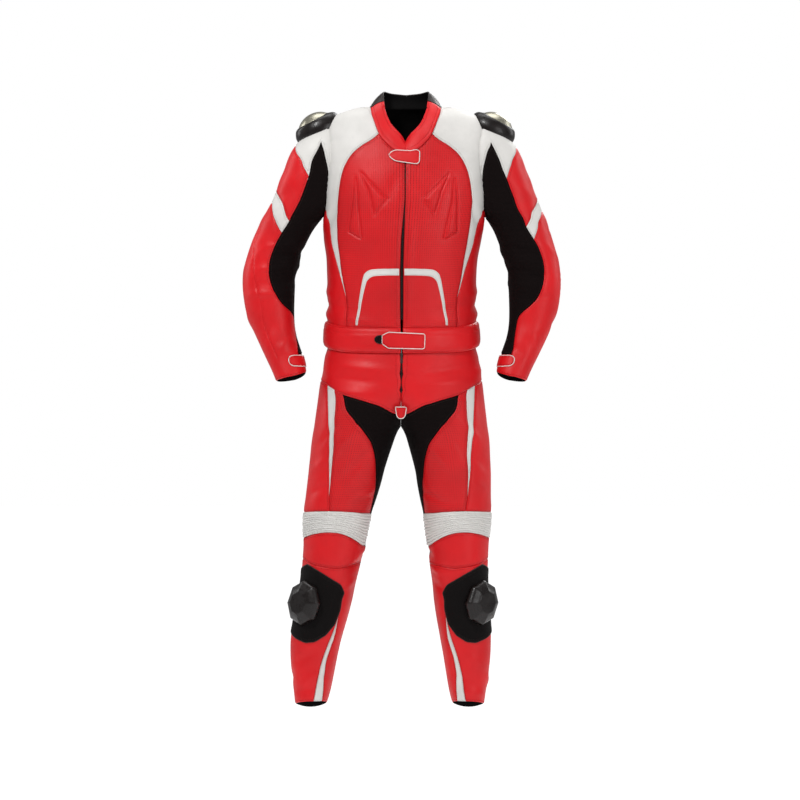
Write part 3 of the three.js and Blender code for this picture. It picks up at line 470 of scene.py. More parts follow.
def placed(points, mirrored):
    """Points of a left-hand piece in the suit, mirrored for the right-hand one, and leaning with it."""
    out = np.array(points, float)
    if mirrored:
        out[:, 0] *= -1
    out[:, 0] += lean(out[:, 2])
    return out


def on_tube(tube, flat, height):
    angle, z = flat[:, 0] / tube.flat, flat[:, 1]
    return tube.point(angle, z) + tube.normal(angle, z) * np.asarray(height)[..., None]


def mesh_of_cut(cut, height, inner, mirrored, rim_look):
    """Vertices, faces and which faces are lining: the outer face, the inner one and the rim between them. A
    rim_look of 1 also gives the rim the black lining, which is painted shade: a dark line in the seam gap.
    """
    tube = cut.tube
    outer = placed(on_tube(tube, cut.spots, height), mirrored)
    inside = placed(on_tube(tube, cut.spots, inner), mirrored)
    count = len(cut.spots)
    faces = cut.faces if not mirrored else cut.faces[:, ::-1]
    sides = []
    for a, b in cut.rim():
        sides.append((b, a, count + a, count + b) if not mirrored else (a, b, count + b, count + a))
    everything = faces.tolist() + (faces[:, ::-1] + count).tolist() + sides
    looks = [0] * len(faces) + [1] * len(faces) + [rim_look] * len(sides)
    return np.concatenate([outer, inside]), everything, looks


def unrolled(tube, flat, middle):
    """Flat places with the tube's own lengths: up its sections at the place, and round it from the middle."""
    angle, z = flat[:, 0] / tube.flat, flat[:, 1]
    steps = np.linspace(0, 1, UNROLL_STEPS)
    top = middle[1]
    up = tube.point(np.repeat(angle[:, None], UNROLL_STEPS, 1), top + (z - top)[:, None] * steps)
    across = tube.point(middle[0] / tube.flat + (angle - middle[0] / tube.flat)[:, None] * steps,
                        np.repeat(z[:, None], UNROLL_STEPS, 1))
    tall = np.linalg.norm(np.diff(up, axis=1), axis=2).sum(1) * np.sign(z - top)
    wide = np.linalg.norm(np.diff(across, axis=1), axis=2).sum(1) * np.sign(flat[:, 0] - middle[0])
    return np.stack([wide, tall], 1)


def flat_size(cut):
    """Width and length of the smallest rectangle round the flat cut, and the cut's area, in metres."""
    corners = cut.tube.place(cut.spots)[cut.faces]
    crossed = np.cross(corners[:, 1] - corners[:, 0], corners[:, 2] - corners[:, 0])
    area = 0.5 * float(np.linalg.norm(crossed, axis=1).sum())
    rim = np.array(sorted({a for a, _ in cut.rim()}))[::2]
    flat = unrolled(cut.tube, cut.spots[rim], cut.spots.mean(0))
    best = None
    for turn in range(0, 90, 3):
        c, s = math.cos(math.radians(turn)), math.sin(math.radians(turn))
        spun = flat @ np.array([[c, -s], [s, c]])
        size = spun.max(0) - spun.min(0)
        if best is None or size[0] * size[1] < best[0] * best[1]:
            best = size
    width, length = sorted(float(v) for v in best)
    share = min(1.0, max(LEAST_SHARE, area / (width * length)))
    return (width * MM, length * MM), share * width * length * MM * MM


# Materials

MIX_FACTOR, MIX_A, MIX_B, MIX_RESULT = 0, 6, 7, 2     # sockets of a mix of colours


class Look:
    """A material made of nodes."""

    def __init__(self, name, roughness, metallic=0.0, specular=0.5, coat=0.0):
        self.material = bpy.data.materials.new(name)
        self.material.use_nodes = True
        self.tree = self.material.node_tree
        self.shader = self.tree.nodes["Principled BSDF"]
        self.shader.inputs["Roughness"].default_value = roughness
        self.shader.inputs["Metallic"].default_value = metallic
        self.shader.inputs["Specular IOR Level"].default_value = specular
        self.shader.inputs["Coat Weight"].default_value = coat

    def node(self, kind, **values):
        """A new node with values for its inputs and settings."""
        made = self.tree.nodes.new(kind)
        for key, value in values.items():
            if key in made.inputs:
                made.inputs[key].default_value = value
            else:
                setattr(made, key, value)
        return made

    def link(self, a, b):
        self.tree.links.new(a, b)

    def scaled(self, vector, scale):
        mapping = self.node("ShaderNodeMapping", Scale=scale)
        self.link(vector, mapping.inputs["Vector"])
        return mapping.outputs["Vector"]

    def place(self, scale=(1, 1, 1)):
        """Coordinates in the piece's own space, in metres times scale."""
        return self.scaled(self.node("ShaderNodeTexCoord").outputs["Object"], scale)

    def flat_place(self, scale):
        """Coordinates along the cloth, in metres times scale."""
        attribute = self.node("ShaderNodeAttribute", attribute_name="flat")
        return self.scaled(attribute.outputs["Vector"], scale)

    def noise(self, where, scale, detail=3.0, roughness=0.5):
        made = self.node("ShaderNodeTexNoise", Scale=scale, Detail=detail, Roughness=roughness)
        self.link(where, made.inputs["Vector"])
        return made.outputs["Fac"]

    def math(self, operation, a, b):
        made = self.node("ShaderNodeMath", operation=operation)
        for socket, value in zip(made.inputs, (a, b)):
            if isinstance(value, (int, float)):
                socket.default_value = value
            else:
                self.link(value, socket)
        return made.outputs[0]

    def ramp(self, value, low, high, out_low=0.0, out_high=1.0):
        """out_low to out_high as the value goes from low to high."""
        made = self.node("ShaderNodeMapRange", **{
            "From Min": low, "From Max": high, "To Min": out_low, "To Max": out_high,
        })
        self.link(value, made.inputs["Value"])
        return made.outputs["Result"]

    def mix(self, factor, a, b):
        made = self.node("ShaderNodeMix", data_type="RGBA")
        self.link(factor, made.inputs[MIX_FACTOR])
        for number, value in ((MIX_A, a), (MIX_B, b)):
            if isinstance(value, tuple):
                made.inputs[number].default_value = (*value, 1)
            else:
                self.link(value, made.inputs[number])
        return made.outputs[MIX_RESULT]

    def bump(self, height, depth, strength, after=None):
        """Relief of the given depth in metres, on top of an earlier one if there is any."""
        made = self.node("ShaderNodeBump", Strength=strength, Distance=depth)
        self.link(height, made.inputs["Height"])
        if after is not None:
            self.link(after, made.inputs["Normal"])
        return made.outputs["Normal"]

    def finish(self, color, roughness=None, normal=None):
        for key, socket in (("Base Color", color), ("Roughness", roughness), ("Normal", normal)):
            if socket is not None:
                self.link(socket, self.shader.inputs[key])
        return self.material


def shade(color, factor):
    return tuple(min(1.0, c * factor) for c in color)


def leather(name, color, perforated=False, roughness=0.42):
    """Grained leather with worn places, and rows of holes if it is perforated."""
    look = Look(name, roughness=roughness, specular=0.3)
    where = look.place()
    pebbles = look.node("ShaderNodeTexVoronoi", feature="SMOOTH_F1", Scale=GRAIN)
    look.link(where, pebbles.inputs["Vector"])
    wrinkles = look.noise(where, scale=160.0, detail=5.0, roughness=0.6)
    clouds = look.noise(where, scale=9.0, detail=4.0, roughness=0.55)
    worn = look.noise(where, scale=42.0, detail=6.0, roughness=0.65)
    base = look.mix(look.ramp(clouds, 0.3, 0.7), shade(color, 0.88), shade(color, 1.08))
    base = look.mix(look.ramp(worn, 0.55, 0.8, 0.0, 0.35), base, shade(color, 0.78))
    height = look.math("ADD", look.math("MULTIPLY", pebbles.outputs["Distance"], 0.6), wrinkles)
    normal = look.bump(height, 0.0006, 0.35)
    if perforated:
        cell = look.node("ShaderNodeVectorMath", operation="FRACTION")
        look.link(look.flat_place((1 / PERFORATION, 1 / PERFORATION, 0)), cell.inputs[0])
        centred = look.node("ShaderNodeVectorMath", operation="SUBTRACT")
        look.link(cell.outputs[0], centred.inputs[0])
        centred.inputs[1].default_value = (0.5, 0.5, 0)
        length = look.node("ShaderNodeVectorMath", operation="LENGTH")
        look.link(centred.outputs[0], length.inputs[0])
        solid = look.ramp(length.outputs["Value"], *HOLE_EDGE)
        base = look.mix(solid, shade(color, 0.22), base)
        normal = look.bump(solid, 0.0008, 0.5, normal)
    rough = look.ramp(worn, 0.3, 0.8, roughness - 0.06, roughness + 0.12)
    return look.finish(base, rough, normal)


def stretch_cloth(name, color):
    """Woven stretch panel with fine ribs across."""
    look = Look(name, roughness=0.9, specular=0.1)
    ribs = look.node("ShaderNodeTexWave", wave_type="BANDS", bands_direction="Y", wave_profile="SIN",
                     Scale=1.0, Distortion=0.6)
    look.link(look.flat_place((110.0, 110.0, 0)), ribs.inputs["Vector"])
    weave = look.noise(look.flat_place((900.0, 300.0, 0)), scale=1.0, detail=2.0)
    height = look.math("ADD", ribs.outputs["Fac"], look.math("MULTIPLY", weave, 0.5))
    base = look.mix(look.ramp(height, 0.2, 1.3), shade(color, 0.5), shade(color, 1.8))
    return look.finish(base, None, look.bump(height, 0.0008, 0.6))


def plain_cloth(name, color, scale=700.0):
    look = Look(name, roughness=0.8, specular=0.12)
    weave = look.noise(look.place(), scale)
    base = look.mix(look.ramp(weave, 0.3, 0.7), shade(color, 0.6), shade(color, 1.4))
    return look.finish(base, None, look.bump(weave, 0.0006, 0.6))


def moulded(name, color, roughness):
    """Moulded plastic with scuffs."""
    look = Look(name, roughness=roughness, specular=0.32, coat=0.08)
    where = look.place()
    scuffs = look.noise(where, scale=60.0, detail=8.0, roughness=0.7)
    fine = look.noise(where, scale=1500.0, detail=2.0)
    base = look.mix(look.ramp(scuffs, 0.55, 0.75), color, shade(color, 2.2))
    rough = look.ramp(scuffs, 0.35, 0.75, roughness - 0.05, roughness + 0.25)
    return look.finish(base, rough, look.bump(fine, 0.0003, 0.25))


def brushed_metal(name, color):
    look = Look(name, roughness=0.3, metallic=1.0)
    lines = look.noise(look.place((60, 1500, 1500)), scale=1.0, detail=4.0)
    base = look.mix(look.ramp(lines, 0.3, 0.7), shade(color, 0.6), shade(color, 1.2))
    rough = look.ramp(lines, 0.3, 0.7, 0.22, 0.42)
    return look.finish(base, rough, look.bump(lines, 0.0003, 0.3))


GRAIN = 900.0             # pebbles of the leather's grain in a metre
PERFORATION = 0.0042      # spacing of the holes in the perforated leather, in metres
HOLE_EDGE = (0.15, 0.24)  # where a hole's edge begins and ends, as shares of that spacing
RED = (0.63, 0.0048, 0.0085)
WHITE = (0.66, 0.645, 0.62)
BLACK = (0.0035, 0.0016, 0.0016)

red = leather("red_leather", RED)
red_perforated = leather("red_perforated", RED, perforated=True)
white = leather("white_leather", WHITE, roughness=0.45)
black_leather = leather("black_leather", (0.012, 0.007, 0.006), roughness=0.5)
stretch = stretch_cloth("black_stretch", BLACK)
lining = plain_cloth("black_lining", (0.004, 0.0035, 0.0035))
hook = plain_cloth("hook_fabric", (0.003, 0.002, 0.002), scale=1600.0)
piping = leather("white_piping", (0.7, 0.68, 0.65), roughness=0.4)
red_thread = plain_cloth("red_thread", (0.36, 0.012, 0.016), scale=3000.0)
white_thread = plain_cloth("white_thread", (0.5, 0.48, 0.46), scale=3000.0)
black_thread = plain_cloth("black_thread", (0.02, 0.014, 0.013), scale=3000.0)
slider_plastic = moulded("slider_plastic", (0.004, 0.0018, 0.0016), 0.26)
tape = plain_cloth("zip_tape", (0.004, 0.003, 0.003), scale=1600.0)
metal = brushed_metal("insert_metal", (0.42, 0.40, 0.32))
zip_metal = brushed_metal("zip_metal", (0.10, 0.09, 0.085))

THREADS = {
    "red": (red_thread, "red_leather"), "white": (white_thread, "white_leather"),
    "black": (black_thread, "black_fabric"),
}

# Each look's material and slot, and the colour of its thread
LOOKS = {
    "red": (red, "red_leather", "red"), "perforated": (red_perforated, "red_leather", "red"),
    "white": (white, "white_leather", "white"), "piping": (piping, "white_leather", "white"),
    "stretch": (stretch, "stretch_fabric", "black"), "black": (black_leather, "black_fabric", "black"),
    "hook": (hook, "black_fabric", "black"), "tape": (tape, "zip_tape", "black"),
}

# Stitches: gathered here by thread, and made at the end as joined meshes

stitches = {}


def stitch_row(thread, points, normals):
    """Stitches along a line of points on a surface."""
    if len(points) < 2:
        return
    place = running_length(points)

    def at(values, where):
        return np.array([np.interp(where, place, values[:, i]) for i in range(3)])

    rows = stitches.setdefault(thread, [])
    for k in range(int(place[-1] / STITCH_PITCH)):
        middle = (k + 0.5) * STITCH_PITCH
        along = at(points, middle + STITCH_REACH) - at(points, middle - STITCH_REACH)
        rows.append((at(points, middle), along, at(normals, middle)))


def make_stitches():
    """Each stitch is a short four-sided rod with pointed ends."""
    for thread, rows in sorted(stitches.items()):
        middle, along, up = (np.array([row[i] for row in rows]) for i in range(3))
        along, up = unit(along), unit(up)
        side = np.cross(up, along)
        half = STITCH_LENGTH / 2
        corners = [middle - along * half - up * STITCH_RADIUS * STITCH_SINK]
        for share in (-STITCH_SHOULDER, STITCH_SHOULDER):
            for turn in (0, 90, 180, 270):
                c, s = math.cos(math.radians(turn)), math.sin(math.radians(turn))
                corners.append(middle + along * half * share + (side * c + up * s) * STITCH_RADIUS)
        corners.append(middle + along * half - up * STITCH_RADIUS * STITCH_SINK)
        vertices = np.stack(corners, 1).reshape(-1, 3)
        template = []
        for k in range(4):
            after = (k + 1) % 4
            template.append((0, 1 + after, 1 + k))
            template.append((1 + k, 1 + after, 5 + after))
            template.append((1 + k, 5 + after, 5 + k))
            template.append((9, 5 + k, 5 + after))
        template = np.array(template)
        faces = (template[None] + 10 * np.arange(len(rows))[:, None, None]).reshape(-1, 3)
        material, slot = THREADS[thread]
        new_object("stitching_" + thread, vertices, faces, [material])


# Panels

def seam_rows(cut, distances):
    """Lines of points at a distance from the cut's edge, as runs that stay at that distance."""
    direction = inward(cut.loop)
    runs = []
    for distance in distances:
        row = cut.loop + direction * distance
        away = segment_distance(row, *sides_of(cut.loop))
        good = (away > SEWING_SHARE * distance) & is_inside(row, cut.loop)
        run = []
        for spot, fine in zip(row, good):
            if fine and (not run or np.linalg.norm(spot - run[-1]) < RUN_GAP):
                run.append(spot)
            else:
                if len(run) > 2:
                    runs.append(np.array(run))
                run = [spot] if fine else []
        if len(run) > 2:
            runs.append(np.array(run))
    return runs


PAIR_SIDES = (("left", False), ("right", True))


def panel(name, tube, cut, look, folds=NO_CREASES, mirrored=False, base=0.0, inner=PANEL_IN, raised=None,
          sewing=(STITCH_ROW,), keep_stitch=None, held="hung", rests_on=(), drop=SEAM_DROP):
    """A panel of the suit from its flat cut, with its sewing."""
    material, slot, thread = LOOKS[look]

    def surface(flat, distance):
        height = base + relief(tube, folds, flat) - drop * np.exp(-distance / SEAM_SOFTNESS)
        height += pucker(flat, distance)
        return height + (raised(flat) if raised is not None else 0)

    height = surface(cut.spots, cut.edge_distance)
    inside = inner + relief(tube, folds, cut.spots)
    # Panels at the usual inner depth give their rims the black lining, as painted shade in the gaps at the
    # seams; other pieces keep their own material on the rim.
    vertices, faces, looks = mesh_of_cut(cut, height, inside, mirrored, 1 if inner == PANEL_IN else 0)
    flat = np.concatenate([cut.spots, cut.spots])
    obj = new_object("cloth_" + name, vertices, faces, [material, lining], looks, flat)
    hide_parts(name)
    size, area = flat_size(cut)
    for run in seam_rows(cut, sewing):
        keep = np.ones(len(run), bool) if keep_stitch is None else keep_stitch(run)
        spots = run[keep]
        if len(spots) < 3:
            continue
        distance = segment_distance(spots, *sides_of(cut.loop))
        place = on_tube(tube, spots, surface(spots, distance) + STITCH_LIFT)
        normal = tube.normal(spots[:, 0] / tube.flat, spots[:, 1])
        if mirrored:
            normal = normal * (-1, 1, 1)
        breaks = np.where(np.linalg.norm(np.diff(spots, axis=0), axis=1) > RUN_GAP)[0] + 1
        for piece, ups in zip(np.split(placed(place, mirrored), breaks), np.split(normal, breaks)):
            stitch_row(thread, piece, ups)


def panels(name, tube, cut, look, folds=(NO_CREASES, NO_CREASES), rests_on=(), hangs_on=None, **options):
    """A left-hand panel and its mirror, each with its own creases."""
    for i, (side, mirrored) in enumerate(PAIR_SIDES):
        rests = [hangs_on] if hangs_on else [f"cloth_{other}_{side}" for other in rests_on]
        panel(f"{name}_{side}", tube, cut, look, folds=folds[i], mirrored=mirrored, rests_on=rests, **options)


# Creases of the worn suit, placed one by one. The right-hand ones are a little different.

TORSO_FOLDS = creases([
    (70, -470, 108, -452, 2.6, 9), (72, -446, 112, -430, -2.2, 8), (64, -418, 104, -402, 2.0, 10),
    (-70, -470, -108, -452, 2.6, 9), (-72, -446, -112, -430, -2.2, 8), (-64, -410, -100, -398, 2.0, 10),
    (20, -480, 62, -470, 2.2, 9), (-20, -480, -58, -472, 2.2, 9), (24, -452, 66, -440, -1.6, 9),
    (-24, -452, -66, -440, -1.6, 9), (62, -215, 84, -262, 2.4, 9), (-62, -215, -84, -262, 2.4, 9),
    (52, -210, 66, -258, -2.0, 9), (-52, -210, -66, -258, -2.0, 9), (3, -130, 10, -200, -1.6, 9),
    (-3, -130, -10, -200, -1.6, 9), (4, -230, 3, -460, 1.6, 7), (-4, -230, -3, -460, 1.6, 7),
    (130, -200, 165, -240, -2.4, 13), (-130, -200, -165, -240, -2.4, 13), (150, -420, 205, -430, 2.6, 12),
    (140, -455, 215, -462, -2.4, 11), (135, -110, 165, -150, 2.0, 15), (-135, -110, -165, -150, 2.0, 15),
    (178, -120, 181, -420, -2.0, 16), (120, -300, 150, -330, -1.8, 12), (-120, -300, -150, -330, -1.8, 12),
])
SLEEVE_FOLDS = creases([
    (-60, -300, 20, -318, -2.6, 8), (-70, -330, 10, -342, 2.4, 9), (-60, -356, 30, -372, -2.8, 8),
    (-70, -388, 20, -398, 2.6, 9), (-50, -420, 40, -424, -2.4, 8), (-120, -300, -60, -330, 2.2, 9),
    (-140, -350, -80, -362, -2.4, 9), (-150, -392, -90, -388, 2.2, 9), (40, -300, 80, -330, 1.8, 12),
    (60, -470, 120, -500, -1.6, 12), (0, -500, 50, -540, 2.0, 10), (-40, -530, 10, -560, -2.0, 9),
    (150, -470, 200, -510, 1.8, 12), (20, -160, 70, -190, 1.6, 14), (110, -150, 160, -190, -1.6, 14),
    (-80, -210, -40, -250, -2.2, 10), (120, -300, 170, -340, 1.8, 13), (150, -570, 230, -580, -1.6, 9),
])
SLEEVE_FOLDS_RIGHT = creases([
    (-55, -290, 25, -306, 2.6, 8), (-70, -318, 15, -330, -2.6, 9), (-62, -346, 28, -358, 2.6, 8),
    (-70, -376, 22, -388, -2.6, 9), (-52, -410, 44, -416, 2.4, 8), (-120, -310, -60, -322, -2.2, 9),
    (-140, -340, -80, -352, 2.4, 9), (-150, -382, -90, -380, -2.2, 9), (44, -310, 84, -338, -1.8, 12),
    (62, -460, 118, -494, 1.6, 12), (2, -490, 52, -528, -2.0, 10), (-40, -520, 10, -548, 2.0, 9),
    (150, -460, 200, -500, -1.8, 12), (24, -170, 70, -200, -1.6, 14), (110, -160, 160, -196, 1.6, 14),
    (-80, -216, -40, -256, 2.2, 10), (120, -310, 170, -348, -1.8, 13), (150, -566, 230, -574, 1.6, 9),
])
LEG_FOLDS = creases([
    (8, -600, 50, -585, -2.6, 9), (6, -630, 56, -616, 2.6, 10), (8, -660, 50, -648, -2.4, 9),
    (60, -600, 95, -588, 2.0, 11), (20, -705, 46, -760, 2.4, 10), (0, -720, 20, -800, -2.4, 10),
    (-30, -760, 4, -840, 2.2, 10), (30, -790, 70, -830, -1.8, 13), (20, -850, 60, -880, 1.8, 12),
    (-60, -880, -10, -905, -2.4, 9), (-90, -960, -50, -990, 2.6, 9), (-110, -1010, -60, -1030, -2.8, 9),
    (-80, -1045, -30, -1070, 2.4, 9), (-70, -1090, -30, -1110, -2.0, 10), (120, -1000, 200, -1010, -3.0, 10),
    (120, -1032, 200, -1040, 2.6, 10), (130, -965, 210, -975, 2.4, 10), (150, -700, 200, -730, -2.8, 12),
    (150, -740, 200, -765, 2.4, 12), (120, -620, 150, -650, 1.8, 14), (0, -1262, 50, -1290, 1.8, 11),
    (-40, -1300, 20, -1330, -1.8, 10), (60, -1310, 110, -1330, 1.8, 11), (150, -1290, 220, -1310, -2.0, 12),
    (-20, -1345, 60, -1352, 1.6, 8), (140, -1340, 240, -1350, 1.8, 9),
])
LEG_FOLDS_RIGHT = creases([
    (8, -592, 52, -580, 2.6, 9), (6, -622, 54, -606, -2.6, 10), (8, -652, 54, -638, 2.4, 9),
    (60, -610, 95, -596, -2.0, 11), (22, -712, 48, -766, -2.4, 10), (0, -730, 22, -806, 2.4, 10),
    (-30, -770, 2, -850, -2.2, 10), (28, -800, 68, -838, 1.8, 13), (22, -860, 62, -886, -1.8, 12),
    (-60, -870, -10, -898, 2.4, 9), (-90, -952, -50, -984, -2.6, 9), (-110, -1002, -60, -1022, 2.8, 9),
    (-80, -1040, -30, -1062, -2.4, 9), (-70, -1082, -30, -1104, 2.0, 10), (120, -992, 200, -1002, 3.0, 10),
    (120, -1024, 200, -1034, -2.6, 10), (130, -958, 210, -966, -2.4, 10), (150, -692, 200, -722, 2.8, 12),
    (150, -730, 200, -757, -2.4, 12), (120, -612, 150, -642, -1.8, 14), (0, -1255, 50, -1282, -1.8, 11),
    (-40, -1292, 20, -1322, 1.8, 10), (60, -1300, 110, -1322, -1.8, 11), (150, -1282, 220, -1300, 2.0, 12),
    (-20, -1338, 60, -1346, -1.6, 8), (140, -1332, 240, -1342, -1.8, 9),
])
ARM_FOLDS = (SLEEVE_FOLDS, SLEEVE_FOLDS_RIGHT)
TROUSER_FOLDS = (LEG_FOLDS, LEG_FOLDS_RIGHT)
BODY_FOLDS = (TORSO_FOLDS, TORSO_FOLDS)

# Armhole: where the sleeve's tube leaves the torso's

ARMHOLE_CENTRE = (92, -105)
ARMHOLE_STEPS = 140

# First and last place that is looked at, and how many there are
ARMHOLE_REACH = (2, 190, 380)
ARMHOLE_ANGLES = (-130, 300, 200)
ARMHOLE_HEIGHTS = (-262, -2.2, 700)


def armhole_on_torso():
    """The closed line on the torso, in flat places."""
    line = []
    for k in range(ARMHOLE_STEPS + 1):
        turn = 2 * math.pi * k / ARMHOLE_STEPS
        reach = np.linspace(*ARMHOLE_REACH)
        flat = np.stack([ARMHOLE_CENTRE[0] * torso.flat + reach * math.cos(turn),
                         ARMHOLE_CENTRE[1] + reach * math.sin(turn)], 1)
        out = sleeve.outside(torso.place(flat))
        first = int(np.argmax(out > 0))
        share = out[first - 1] / (out[first - 1] - out[first])
        line.append(flat[first - 1] + share * (flat[first] - flat[first - 1]))
    line[-1] = line[0]
    return np.array(line)


def armhole_on_sleeve():
    """The line on the sleeve, over more than a turn, in flat places."""
    line = []
    heights = np.linspace(*ARMHOLE_HEIGHTS)
    for angle in np.linspace(*ARMHOLE_ANGLES):
        out = torso.outside(sleeve.point(np.full(len(heights), angle), heights))
        inside = out < 0
        first = int(np.argmax(inside)) if inside.any() else len(heights) - 1
        share = out[first - 1] / (out[first - 1] - out[first]) if inside.any() else 1.0
        line.append((angle * sleeve.flat, heights[first - 1] + share * (heights[first] - heights[first - 1])))
    return np.array(line)


torso_armhole = armhole_on_torso()
sleeve_armhole = armhole_on_sleeve()

# How far the panels run on into each other behind the seam, as shares of the other tube's half width
TORSO_LAP = 0.08
SLEEVE_LAP = 0.035


def outside_sleeve(flat):
    return ~is_inside(flat, torso_armhole[:-1])


def below_armhole(flat):
    return flat[:, 1] < np.interp(flat[:, 0], sleeve_armhole[:, 0], sleeve_armhole[:, 1])


def torso_keeps(flat):
    return sleeve.outside(torso.place(flat)) > -TORSO_LAP


def sleeve_keeps(flat):
    return torso.outside(sleeve.place(flat)) > -SLEEVE_LAP


def torso_cut(outline, **options):
    return Cut(torso, outline, fences=[torso_armhole], keeps=torso_keeps, **options)


def sleeve_cut(outline, more_seams=(), **options):
    return Cut(sleeve, outline, fences=[sleeve_armhole, *more_seams], keeps=sleeve_keeps, **options)


# Seam lines of the jacket, as seen from the front, or as angles and heights

CHEST_OVAL = Line(torso.seen([
    (59, -36), (80, -53), (104, -68), (127, -89), (144, -118), (153, -150), (158, -190), (159, -228),
    (155, -275), (149, -320), (142, -368), (131, -424),
]))
STRIPE_OUTER = Line(torso.seen([
    (182, -222), (171, -273), (166, -301), (158, -329), (149.5, -357), (140.5, -390), (131, -424),
]))
NECK_FRONT = Line(torso.seen([(0, -80), (13, -78), (32, -67), (50, -49), (59, -36)]))
NECK_SIDE = Line(torso.seen([(59, -36), (66, -19), (71, -5), (76, 9), (79, 24), (80, 28)]) + [(90, 28.5)])
NECK_BACK = Line([(90, 28.5), (112, 27.5), (130, 26), (150, 25), (180, 25)])
YOKE_BACK = Line([(150, 25), (146, 0), (132, -40), (112, -78)])
JACKET_BOTTOM = -498
SIDE_SEAM = [(115, -250), (115, JACKET_BOTTOM)]
ZIP_SLIT = Line(torso.seen([(1.2, -90), (1.2, -200), (3.2, -300), (3.2, -450), (2.2, JACKET_BOTTOM)]))
OVAL_FOOT = torso.seen([(130, JACKET_BOTTOM)])
ARMHOLE_TOP, ARMHOLE_FOOT = (88, -90), (88, -205)
ARMHOLE_TOP_BACK, ARMHOLE_FOOT_BACK = (104, -90), (104, -205)
ARCH = Line(torso.seen([
    (6, -356), (40, -356.5), (70, -358), (83, -364), (90, -376), (97, -412), (103, -452), (107.5, -488),
]))
ARCH_INNER = Line(torso.seen([
    (102.5, -488), (94, -436), (85, -396), (79, -382), (66, -374), (40, -372), (6, -371.5),
]))
CHEST_PADS = (
    ((105, -129), (42, -193), (70, -232), (85, -175)),
    ((116, -141), (110, -210), (96, -287), (127, -270)),
)
PAD_HEIGHT = 3.6
PAD_EDGE = 5              # how far from its edge a pad comes up
PAD_GROOVE = 2.2
PAD_GROOVE_WIDTH = 2.4
PAD_LOOPS = [np.array([(a * torso.flat, z) for a, z in torso.seen(corners)]) for corners in CHEST_PADS]


def pad_relief(flat):
    """The two embossed pads on each side of the chest: raised, with a groove round them."""
    total = np.zeros(len(flat))
    for loop in PAD_LOOPS:
        distance = segment_distance(flat, *sides_of(loop))
        total += np.where(is_inside(flat, loop), PAD_HEIGHT * (1 - np.exp(-distance / PAD_EDGE)), 0)
        total -= PAD_GROOVE * np.exp(-(distance / PAD_GROOVE_WIDTH) ** 2)
    return total


def make_jacket():
    chest = Cut(torso, ZIP_SLIT.back() + NECK_FRONT.part(1, 4) + CHEST_OVAL.part()[1:] + OVAL_FOOT, step=4.2,
                marks=PAD_LOOPS)
    panels("chest", torso, chest, "perforated", BODY_FOLDS, raised=pad_relief, sewing=(2.8, 6.0),
           rests_on=["shoulder_yoke"])
    yoke = torso_cut(
        CHEST_OVAL.back() + NECK_SIDE.part()[1:] + NECK_BACK.part(0, 3)[1:] + YOKE_BACK.part(0, 3)[1:]
        + [ARMHOLE_TOP, ARMHOLE_FOOT] + STRIPE_OUTER.part()[:-1])
    panels("shoulder_yoke", torso, yoke, "white", BODY_FOLDS, keep_stitch=outside_sleeve,
           rests_on=["collar_red"])
    side = torso_cut([ARMHOLE_FOOT, ARMHOLE_FOOT_BACK] + SIDE_SEAM + OVAL_FOOT + STRIPE_OUTER.back())
    panels("jacket_side", torso, side, "red", BODY_FOLDS, keep_stitch=outside_sleeve,
           rests_on=["shoulder_yoke"])
    half = YOKE_BACK.part() + [ARMHOLE_TOP_BACK, ARMHOLE_FOOT_BACK] + SIDE_SEAM
    other = [(360 - angle, z) for angle, z in half[::-1]]

    def turned(line):
        return line * (-1, 1) + (360 * torso.flat, 0)

    def outside_both(flat):
        return outside_sleeve(flat) & outside_sleeve(turned(flat))

    def keeps_both(flat):
        return torso_keeps(flat) & torso_keeps(turned(flat))

    back = Cut(torso, half + other, fences=[torso_armhole, turned(torso_armhole)], keeps=keeps_both)
    panel("jacket_back", torso, back, "red", TORSO_FOLDS, keep_stitch=outside_both,
          rests_on=["cloth_shoulder_yoke_left", "cloth_shoulder_yoke_right"])
    arch = Cut(torso, ARCH.part() + ARCH_INNER.part(), step=8, seam=0)
    panels("arch_stripe", torso, arch, "white", BODY_FOLDS, base=TRIM_GAP + APPLIED, inner=TRIM_GAP - 0.2,
           sewing=(2.4,), drop=0.9, held="laid", rests_on=["chest"])


BAND_TOP = table("angle z", [(0, -494), (45, -491), (90, -477), (135, -476), (180, -476)])
BAND_DEPTH = 60
BAND_BULGE = 6.0
BAND_OUT = 3.4
BAND_ENDS = (0.4, 359.6)  # angles of the band's two ends, at the front zip
BAND_COLUMNS = 90


def band_top(angle):
    turned = np.abs(np.where(angle > 180, 360 - angle, angle))
    return smooth_between(BAND_TOP["angle"], BAND_TOP["z"], turned)


def band_share(flat):
    return np.clip((band_top(flat[:, 0] / torso.flat) - flat[:, 1]) / BAND_DEPTH, 0, 1)


def band_relief(flat):
    """The padded roll: a narrow welt on top and a wide one below."""
    share = band_share(flat)
    roll = BAND_BULGE * (1 - np.abs(2 * share - 1) ** 4)
    groove = 2.2 * np.exp(-((share - 0.24) * BAND_DEPTH / 2.0) ** 2)
    ripple = 0.7 * np.sin(flat[:, 0] / 11.0) * np.sin(flat[:, 0] / 27.0 + 2)
    return roll - groove + ripple * np.exp(-((share - 0.3) * 7) ** 2)


def make_waistband():
    angles = np.linspace(*BAND_ENDS, BAND_COLUMNS)
    tops = band_top(angles)
    outline = list(zip(angles, tops)) + list(zip(angles[::-1], tops[::-1] - BAND_DEPTH))
    cut = Cut(torso, outline, step=5.0)
    panel("waistband", torso, cut, "red", base=BAND_OUT, inner=TRIM_GAP, raised=band_relief, sewing=(3.0,),
          rests_on=["cloth_jacket_back"])


